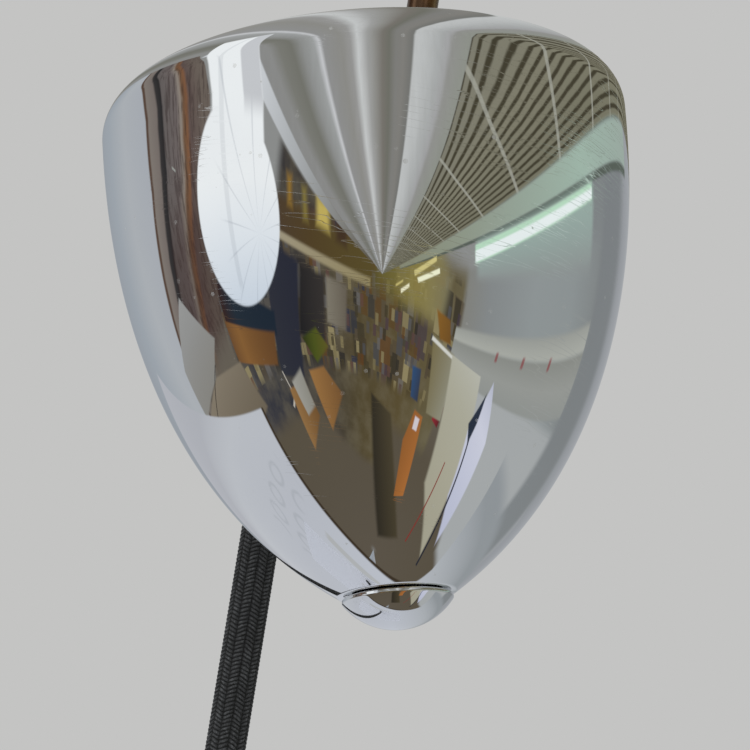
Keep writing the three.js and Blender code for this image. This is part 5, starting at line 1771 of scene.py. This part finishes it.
# ------------------------------------------------------------------ hanger and flex outlet
@dataclass
class Hanger:
    """The thin tube under the arm's tail, with its ball, eye and flex outlet."""

    length: float = 102.0
    radius: float = 2.7
    wall: float = 1.2
    ball: float = 11.0
    eye_radius: float = 6.0
    eye_width: float = 8.0
    outlet_height: float = 46.0
    branch: float = 9.0
    branch_radius: float = 4.3
    rise: float = 15.0
    swing: float = 16.8

    def _outlet_turn(self) -> Matrix:
        """Points a piece made about Z along the branch."""
        level = math.cos(math.radians(self.rise))
        aim = Vector((-math.sin(math.radians(self.swing)) * level, math.cos(math.radians(self.swing)) * level,
                      math.sin(math.radians(self.rise))))
        return shift(z=self.outlet_height) @ aim.to_track_quat("Z", "X").to_matrix().to_4x4()

    def tail_ball(self) -> bmesh.types.BMesh:
        """The ball that turns the arm down into the hanger."""
        ball = lathe([(0, -self.ball), *arc(0, 0, self.ball, -88, 88, 44), (0, self.ball)], 96)
        socket = moved(bar(6.3, 2.2, 30), ALONG_X, turn(-20, "Y"))
        return chamfered(carve([ball], [socket, bar(3.0, -30, -3.0)]), 0.2)

    def eye(self) -> bmesh.types.BMesh:
        """The eye on the weight's pin, with a socket for the tube."""
        half = self.eye_width / 2
        solid = [moved(bar(self.eye_radius, -half, half), TO_BACK), bar(self.radius + self.wall, 0, 15, 0.4)]
        return chamfered(carve(solid, [moved(bar(2.8, -20, 20), TO_BACK), bar(3.0, 8, 30)]), 0.3)

    def outlet(self) -> bmesh.types.BMesh:
        """The tee with its branch for the flex."""
        r, half = self.radius + 2.8, 4.5
        barrel = bar(r, -half, half, 1.0)
        barrel.transform(shift(z=self.outlet_height))
        branch = moved(bar(self.branch_radius, 0, self.branch), self._outlet_turn())
        bore = moved(bar(1.5, 0, 30), self._outlet_turn())
        return chamfered(carve([barrel, branch], [bar(3.0, 0, 200), bore]), 0.3)

    def relief(self) -> bmesh.types.BMesh:
        """The tapered rubber sleeve, with a collar and fine rings."""
        line = [(1.5, 9.3), (4.9, 9.3), (4.9, 13.0), (4.6, 13.6)]
        for i in range(9):
            at, wide = 14.4 + 1.5 * i, 4.6 - 0.025 * i
            line += [(wide, at), (wide, at + 0.8), (wide - 0.28, at + 1.0), (wide - 0.28, at + 1.3)]
        line += [(4.3, 27.6), (4.3, 28.0), (1.5, 28.0), (1.5, 9.3)]
        return moved(lathe(eased(line, 0.2, 2), 64), self._outlet_turn())

    def build(self) -> None:
        """Makes the hanger's pieces."""
        tube = ring(self.radius, self.radius - self.wall, 8.3, self.length - 3.3, 0.1)
        set_piece("hanger_tube_drawn", tube, Coat.aged_brass, "arm", PLACES.eye, ["hanger_tube"])
        set_piece("tail_ball_turned", self.tail_ball(), Coat.chrome, "arm", PLACES.tail_end, ["tail_ball"])
        set_piece("hanger_eye_turned", self.eye(), Coat.steel, "arm", PLACES.eye, ["hanger_eye"])
        set_piece("flex_outlet_tee", self.outlet(), Coat.aged_brass, "arm", PLACES.eye, ["flex_outlet"])
        set_piece("flex_relief_sleeve", self.relief(), Coat.rubber, "arm", PLACES.eye, ["flex_relief"])


def hand_knob(radius: float, depth: float, hole: float, hole_depth: float, scallops: int) -> bmesh.types.BMesh:
    """A scalloped hand knob about Z, domed a little on its face."""
    chamfer = radius * 0.12
    line = [(0, 0), (radius * 0.62, 0), (radius * 0.62, depth * 0.22), (radius - chamfer, depth * 0.22),
            (radius, depth * 0.22 + chamfer), (radius, depth - chamfer), (radius - chamfer, depth),
            (radius * 0.62, depth), (radius * 0.5, depth - 0.5), (0, depth - 0.7)]
    flutes = []
    for i in range(scallops):
        angle = 2 * math.pi * i / scallops
        flute = bar(radius * 0.16, -1, depth + 1, sides=32)
        flute.transform(shift(radius * 1.04 * math.cos(angle), radius * 1.04 * math.sin(angle)))
        flutes.append(flute)
    return chamfered(carve([lathe(eased(line, 0.5), 112)], [*flutes, bar(hole, -1, hole_depth)]), 0.35, 3)


def slotted(outline: Sequence[Pair], top: float, width: float, depth: float, reach: float) -> bmesh.types.BMesh:
    """A turned screw about Z with a driver's slot across its head."""
    slot = plate([(-reach, top - depth), (reach, top - depth), (reach, top + 1), (-reach, top + 1)], width)
    return chamfered(carve([lathe(eased(outline, 0.3), 64)], [slot]), 0.12)


# ------------------------------------------------------------------ base, stem and pivot
@dataclass
class Stand:
    """The weighted base, its stem, and the fork and knob on top."""

    radius: float = 95.0
    height: float = 24.0
    sheet: float = 1.5
    pad_top: float = 1.9
    hole: float = 7.3
    stem: float = 7.0
    stem_top: float = 404.0
    cheek_in: float = 7.6
    cheek_out: float = 12.6
    eye: float = 9.0

    def shell(self) -> bmesh.types.BMesh:
        """The spun cover of the base."""
        r, h = self.radius, self.height
        edge_x, edge_z = r - 7, h - 8
        outer = [(self.hole, h), (24, h), *bend((24, h), (r * 0.58, h), (r * 0.65, edge_z), (edge_x, edge_z), 40),
                 *arc(edge_x, edge_z - 7, 7, 88, 0, 20), (r, self.pad_top)]
        inner = [(x, max(z, self.pad_top)) for x, z in inset(outer, self.sheet)][::-1]
        return lathe([*outer, *inner, outer[0]], 160)

    def collar(self) -> bmesh.types.BMesh:
        """The turned collar round the stem's foot."""
        foot, skirt = self.height + 0.3, self.stem + 12
        top = foot + 12
        line = [(self.hole, foot), (skirt, foot), (skirt, foot + 2),
                *bend((skirt, foot + 2), (self.hole + 3.5, foot + 2.5), (self.hole + 2.5, foot + 5),
                      (self.hole + 2.2, top), 24), (self.hole, top), (self.hole, foot)]
        return lathe(eased(line, 0.4), 112)

    def fork(self) -> bmesh.types.BMesh:
        """The forked head of the stem."""
        seat = self.stem_top + 0.3
        floor, out = seat + 12, self.cheek_out + 1
        head = lathe([(0, self.stem_top - 19.5), (5.2, self.stem_top - 19.5), (5.2, seat), (self.stem + 1, seat),
                      *bend((self.stem + 1, seat), (self.stem + 1.5, seat + 5), (out, seat + 4),
                            (out, floor - 2), 18), (out, floor), (0, floor)], 96)
        height = joint_place("arm_tilt").z
        rise = height - floor + 2
        outline = [(self.eye, -rise), *arc(0, 0, self.eye, 0, 180, 40), (-self.eye, -rise)]
        middle = (self.cheek_in + self.cheek_out) / 2
        cheeks = [moved(plate(outline, 5.0), shift(0, side * middle, height)) for side in (1, -1)]
        hole = moved(bar(3.3, -30, 30), TO_BACK, shift(z=height))
        return chamfered(carve([head, *cheeks], [hole]), 0.5, 3)

    def bolt(self) -> bmesh.types.BMesh:
        """The pivot bolt, its low head slotted."""
        seat = self.cheek_out + 0.3
        line = [(0, -seat - 12), (3, -seat - 12), (3, seat), (6, seat), (6, seat + 3), (5, seat + 4), (0, seat + 4)]
        return moved(slotted(line, seat + 4, 1.2, 1.3, 8), TO_BACK)

    def build(self) -> None:
        """Makes the stand's pieces."""
        pad = bar(self.radius - 3, 0.0, 1.6, 0.4, 160)
        set_piece("felt_pad_pressed", pad, Coat.felt, "stand", None, ["felt_pad"])
        set_piece("base_cover_spun", self.shell(), Coat.chrome, "stand", None, ["base_shell"], 40)
        set_piece("stem_collar_turned", self.collar(), Coat.aged_brass, "stand", None, ["stem_collar"])
        low = float(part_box("stem_tube")[0].z) / MM
        tube = ring(self.stem, self.stem - 1.5, low, self.stem_top, 0.2)
        set_piece("stem_tube_drawn", tube, Coat.aged_brass, "stand", None, ["stem_tube"])
        set_piece("pivot_fork_milled", self.fork(), Coat.aged_brass, "stand", None, ["pivot_fork"])
        set_piece("pivot_bolt_turned", self.bolt(), Coat.steel, "stand", PLACES.pivot, ["pivot_bolt"])
        knob = moved(hand_knob(12, 16, 3.3, 12.3, 7), TO_FRONT, shift(y=-(self.cheek_out + 0.3)))
        set_piece("pivot_knob_moulded", knob, Coat.bakelite, "knob", PLACES.pivot, ["pivot_knob"])
        dress("base_ballast", Coat.cast_iron)
        dress("base_nut", Coat.steel)


# ------------------------------------------------------------------ the balance arm
@dataclass
class BalanceArm:
    """The long tube in its hub, and what holds them."""

    radius: float = 6.0
    wall: float = 1.25
    tail: float = 144.2
    reach: float = 400.0
    offset: float = 16.0
    hub_width: float = 12.0
    sleeve: float = 9.0
    sleeve_half: float = 24.0
    eye: float = 9.0
    screw_at: float = 14.0

    def hub(self) -> bmesh.types.BMesh:
        """The eye on the bolt and the sleeve that grips the tube."""
        half = self.hub_width / 2
        eye = moved(bar(self.eye, -half, half, sides=80), TO_BACK)
        web = plate([(-7.2, 0), (7.2, 0), (8.4, self.offset), (-8.4, self.offset)], self.hub_width)
        sleeve = moved(bar(self.sleeve, -self.sleeve_half, self.sleeve_half, 1.5, 80), ALONG_X,
                       shift(z=self.offset))
        bore = moved(bar(self.radius + 0.3, -60, 60, sides=80), ALONG_X, shift(z=self.offset))
        pin = moved(bar(3.3, -20, 20), TO_BACK)
        screw = moved(bar(1.8, self.offset, self.offset + 20), shift(self.screw_at))
        return chamfered(carve([eye, web, sleeve], [bore, pin, screw]), 0.45, 3)

    def screw(self) -> bmesh.types.BMesh:
        """The small slotted screw on the sleeve."""
        tip, seat = self.radius + 0.3, self.sleeve + 0.3
        top = seat + 2.6
        line = [(0, tip), (1.5, tip), (1.5, seat), (3.2, seat), (3.2, top - 0.7), (2.4, top), (0, top + 0.0)]
        return slotted(line, top, 0.8, 0.9, 5)

    def build(self) -> None:
        """Makes the arm's pieces."""
        set_piece("arm_hub_milled", self.hub(), Coat.aged_brass, "arm", PLACES.arm, ["arm_hub"])
        for side, node in ((-1, "hub_washer_front"), (1, "hub_washer_rear")):
            washer = moved(ring(8, 3.3, 6.3, 7.3, 0.15), TO_BACK, turn(180 if side < 0 else 0, "Z"))
            set_piece(node + "_cut", washer, Coat.fibre, "arm", PLACES.arm, [node])
        set_piece("hub_screw_turned", self.screw(), Coat.steel, "arm",
                  PLACES.arm @ shift(self.screw_at, 0, self.offset), ["hub_screw"])
        tube = moved(ring(self.radius, self.radius - self.wall, 2.5 - self.tail, self.reach, 0.2), ALONG_X,
                     shift(z=self.offset))
        set_piece("arm_tube_drawn", tube, Coat.aged_brass, "arm", PLACES.arm, ["arm_tube"])
        dress("arm_journal", Coat.steel)
        dress("journal_screw", Coat.steel)


# ------------------------------------------------------------------ the head
@dataclass
class LampHead:
    """Fork, neck, cup, lampholder, shade, bulb and switch."""

    pin_at: float = 40.0
    fork_radius: float = 8.0
    inside: float = 4.3
    cheek: float = 4.0
    eye: float = 7.0
    neck: float = 4.0
    cup_top: float = -29.3
    cup_rim: float = -78.0
    cup_radius: float = 22.5
    sheet: float = 1.2
    holder: float = 19.5
    bore: float = 13.5
    holder_end: float = -90.0
    switch_at: float = -54.0
    shade_radius: float = 75.0
    shade_depth: float = 95.0
    bulb_tip: float = -62.9

    def fork(self) -> bmesh.types.BMesh:
        """The forked end that turns on the arm's journal."""
        end, out = 16.6, self.inside + self.cheek
        barrel = moved(bar(self.fork_radius, 0.6, end, 0.8, 80), ALONG_X)
        outline = [(end - 3, self.eye - 1), *arc(self.pin_at, 0, self.eye, 90, -90, 36), (end - 3, 1 - self.eye)]
        middle = (self.inside + out) / 2
        cheeks = [moved(plate(outline, self.cheek), shift(y=side * middle)) for side in (1, -1)]
        tools = [moved(bar(4.3, -5, end - 4), ALONG_X), moved(bar(6.2, end - 5, end + 2), ALONG_X),
                 moved(bar(2.3, -20, 20), TO_BACK, shift(self.pin_at))]
        return chamfered(carve([barrel, *cheeks], tools), 0.4, 3)

    def bolt(self) -> bmesh.types.BMesh:
        """The tilting joint's bolt."""
        seat = self.inside + self.cheek + 0.3
        line = [(0, -seat - 4), (2, -seat - 4), (2, seat), (4, seat), (4, seat + 2), (3, seat + 3), (0, seat + 3)]
        return moved(slotted(line, seat + 3, 0.9, 1.0, 6), TO_BACK)

    def neck_piece(self) -> bmesh.types.BMesh:
        """The eye, stalk, flange and threaded end."""
        top = self.cup_top
        line = [(0, 0), (self.neck, 0), (self.neck, top + 6.3), (self.eye, top + 3), (self.eye, top + 0.3),
                (self.neck, top + 0.3)]
        z = top - 1
        while z > -55:
            line += [(self.neck, z), (self.neck - 0.35, z - 0.4), (self.neck, z - 0.8)]
            z -= 1.0
        line += [(self.neck, -56), (0, -56)]
        eye = moved(bar(self.eye, -4, 4, sides=80), TO_BACK)
        hole = moved(bar(2.3, -20, 20), TO_BACK)
        return chamfered(carve([eye, lathe(line, 64)], [hole]), 0.35)

    def cup(self) -> bmesh.types.BMesh:
        """The bell-shaped cover with its hole for the switch."""
        crown = self.eye + 3
        outer = [(self.neck + 0.3, self.cup_top), (crown, self.cup_top),
                 *bend((crown, self.cup_top), (self.cup_radius * 0.67, self.cup_top - 1),
                       (self.cup_radius, self.cup_top - 8), (self.cup_radius, self.cup_top - 20), 28),
                 (self.cup_radius, self.cup_rim)]
        inner = inset(outer, self.sheet)[::-1]
        inner[0] = (inner[0][0], self.cup_rim)
        hole = moved(bar(4.3, 15, 40), TO_FRONT, shift(z=self.switch_at))
        return chamfered(carve([lathe([*outer, *inner, outer[0]], 128)], [hole]), 0.2)

    def holder_piece(self) -> bmesh.types.BMesh:
        """The moulded lampholder, threaded outside for the ring."""
        floor, r = -61.0, self.holder
        line = [(4.3, -49), (r - 2, -49), (r, -51), (r, self.cup_rim - 6.9)]
        z = self.cup_rim - 7.2
        while z > self.holder_end + 1.6:
            line += [(r, z), (r - 0.5, z - 0.6), (r, z - 1.2)]
            z -= 1.5
        line += [(r, self.holder_end), (self.bore, self.holder_end), (self.bore, floor), (4.3, floor), (4.3, -49)]
        hole = moved(bar(2.3, 11, 30), TO_FRONT, shift(z=self.switch_at))
        return chamfered(carve([lathe(line, 112)], [hole]), 0.15)

    def shade(self) -> tuple[bmesh.types.BMesh, int]:
        """The spun shade with its rolled rim, and how many of its section's sides are outside."""
        top = self.cup_rim - 0.3
        mouth, collar, wall, roll = top - self.shade_depth, self.holder + 7.5, 0.8, 1.4
        outer = [(self.holder + 0.3, top), (collar, top),
                 *bend((collar, top), (self.shade_radius * 0.66, top - 1),
                       (self.shade_radius * 0.96, top - self.shade_depth * 0.42), (self.shade_radius, mouth), 56)]
        inner = inset(outer, wall)[::-1]
        rim = self.shade_radius
        lip = [(rim, mouth), (rim + roll, mouth - roll / 2), (rim + roll, mouth - roll * 1.5),
               (rim, mouth - roll * 2), (rim - wall, mouth - roll * 1.6), (rim - wall, mouth)]
        edge = eased(lip, roll * 0.7, 6)[1:-1]
        line = [*outer, *edge, *inner, outer[0]]
        return lathe(line, 176), len(outer) + len(edge) - 4

    def ring_piece(self) -> bmesh.types.BMesh:
        """The shade ring with its knurled edge."""
        top, outer = self.cup_rim - 1.4, self.holder + 5.5
        body = ring(outer - 0.35, self.holder + 0.3, top - 6, top, 0.5)
        rib = bar(0.5, top - 5.4, top - 0.6, 0.2, 10)
        return together(body, RIBS.ring(rib, 72, outer - 0.45, Coat.bakelite))

    def bulb_cap(self) -> bmesh.types.BMesh:
        """The rolled screw cap with its contact and insulator."""
        t, r = self.bulb_tip, self.bore - 0.3
        line = [(0, t), (4.5, t), (4.5, t - 2), (10, t - 4), (r - 1.4, t - 5.5)]
        z = t - 7.0
        while z > t - 23:
            line += [(r - 1.1, z), (r - 0.35, z - 0.8), (r, z - 1.6), (r - 0.35, z - 2.4), (r - 1.1, z - 3.2)]
            z -= 3.6
        line += [(r, t - 26), (r, t - 28), (0, t - 28)]
        return lathe(eased(line, 0.3, 3), 96)

    def glass(self) -> bmesh.types.BMesh:
        """The blown bulb."""
        neck, r, length = self.bulb_tip - 28.3, 28.0, 73.0
        centre, throat = neck - length + r, self.bore - 0.9
        outer = [(throat, neck), *bend((throat, neck), (self.bore - 0.3, neck - 16), (r, centre + 22),
                                       (r, centre), 30), *arc(0, centre, r, -4, -86, 24), (0, centre - r)]
        inner = inset(outer, 1.0)[::-1]
        inner[0] = (0, centre - r + 1.0)
        inner[-1] = (inner[-1][0], neck)
        return lathe([*outer, *inner, outer[0]], 112)

    def key(self) -> bmesh.types.BMesh:
        """The turning switch key with its grip."""
        face = self.cup_radius + 2.0
        disc = lathe(eased([(0, face), (7, face), (7, face + 3), (6, face + 4), (0, face + 4)], 0.5), 80)
        grip = plate([(-1.3, face + 3), (1.3, face + 3), (1.3, face + 9), (-1.3, face + 9)], 11)
        solid = carve([bar(2, 12, face + 2), disc, grip])
        return moved(chamfered(solid, 0.4, 3), TO_FRONT, shift(z=self.switch_at))

    def build(self) -> None:
        """Makes the head's pieces."""
        head = PLACES.head
        set_piece("head_fork_milled", self.fork(), Coat.aged_brass, "fork", PLACES.fork, ["head_fork"])
        set_piece("head_bolt_turned", self.bolt(), Coat.steel, "fork", PLACES.head_pin, ["head_bolt"])
        nut = moved(hand_knob(6, 6, 2.3, 4.3, 5), TO_FRONT, shift(y=-(self.inside + self.cheek + 0.3)))
        set_piece("head_nut_fluted", nut, Coat.aged_brass, "fork", PLACES.head_pin, ["head_nut"])
        set_piece("head_neck_turned", self.neck_piece(), Coat.aged_brass, "head", head, ["head_neck"])
        set_piece("socket_cup_spun", self.cup(), Coat.chrome, "head", head, ["socket_cup"], 40)
        set_piece("lampholder_moulded", self.holder_piece(), Coat.bakelite, "head", head, ["lampholder"])
        shape, outside = self.shade()
        for index, face in enumerate(shape.faces):
            face.material_index = 0 if index < outside * 176 else 1
        shade = set_piece("shade_spun", shape, Coat.chrome, "head", head, ["shade"], 50)
        shade.data.materials.append(Coat.enamel.value.material())
        set_piece("shade_ring_knurled", self.ring_piece(), Coat.bakelite, "head", head, ["shade_ring"])
        set_piece("bulb_cap_rolled", self.bulb_cap(), Coat.brass, "head", head, ["bulb_cap"], 50)
        set_piece("bulb_glass_blown", self.glass(), Coat.glass, "head", head, ["bulb_glass"], 60)
        bush = [(2.3, 20.1), (4, 20.1), (4, 22.8), (6, 22.8), (6, 24.2), (2.3, 24.2), (2.3, 20.1)]
        set_piece("switch_bush_turned", moved(lathe(eased(bush, 0.25), 64), TO_FRONT, shift(z=self.switch_at)),
                  Coat.brass, "head", head, ["switch_bush"])
        set_piece("switch_key_moulded", self.key(), Coat.bakelite, "switch", head, ["switch_knob"])
        dress("neck_nut", Coat.steel)
        dress("holder_contact", Coat.brass)


def main() -> None:
    """Builds camera, flex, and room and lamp."""
    logging.basicConfig(level=logging.INFO, stream=sys.stdout, format="%(name)s %(message)s")
    random.seed(11)
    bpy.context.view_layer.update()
    studio = Studio()
    studio.camera()
    Flex().build()
    studio.build()
    for assembly in (Counterweight(), Hanger(), Stand(), BalanceArm(), LampHead()):
        LOG.info("building %s", type(assembly).__name__)
        assembly.build()


if __name__ == "__main__":
    main()
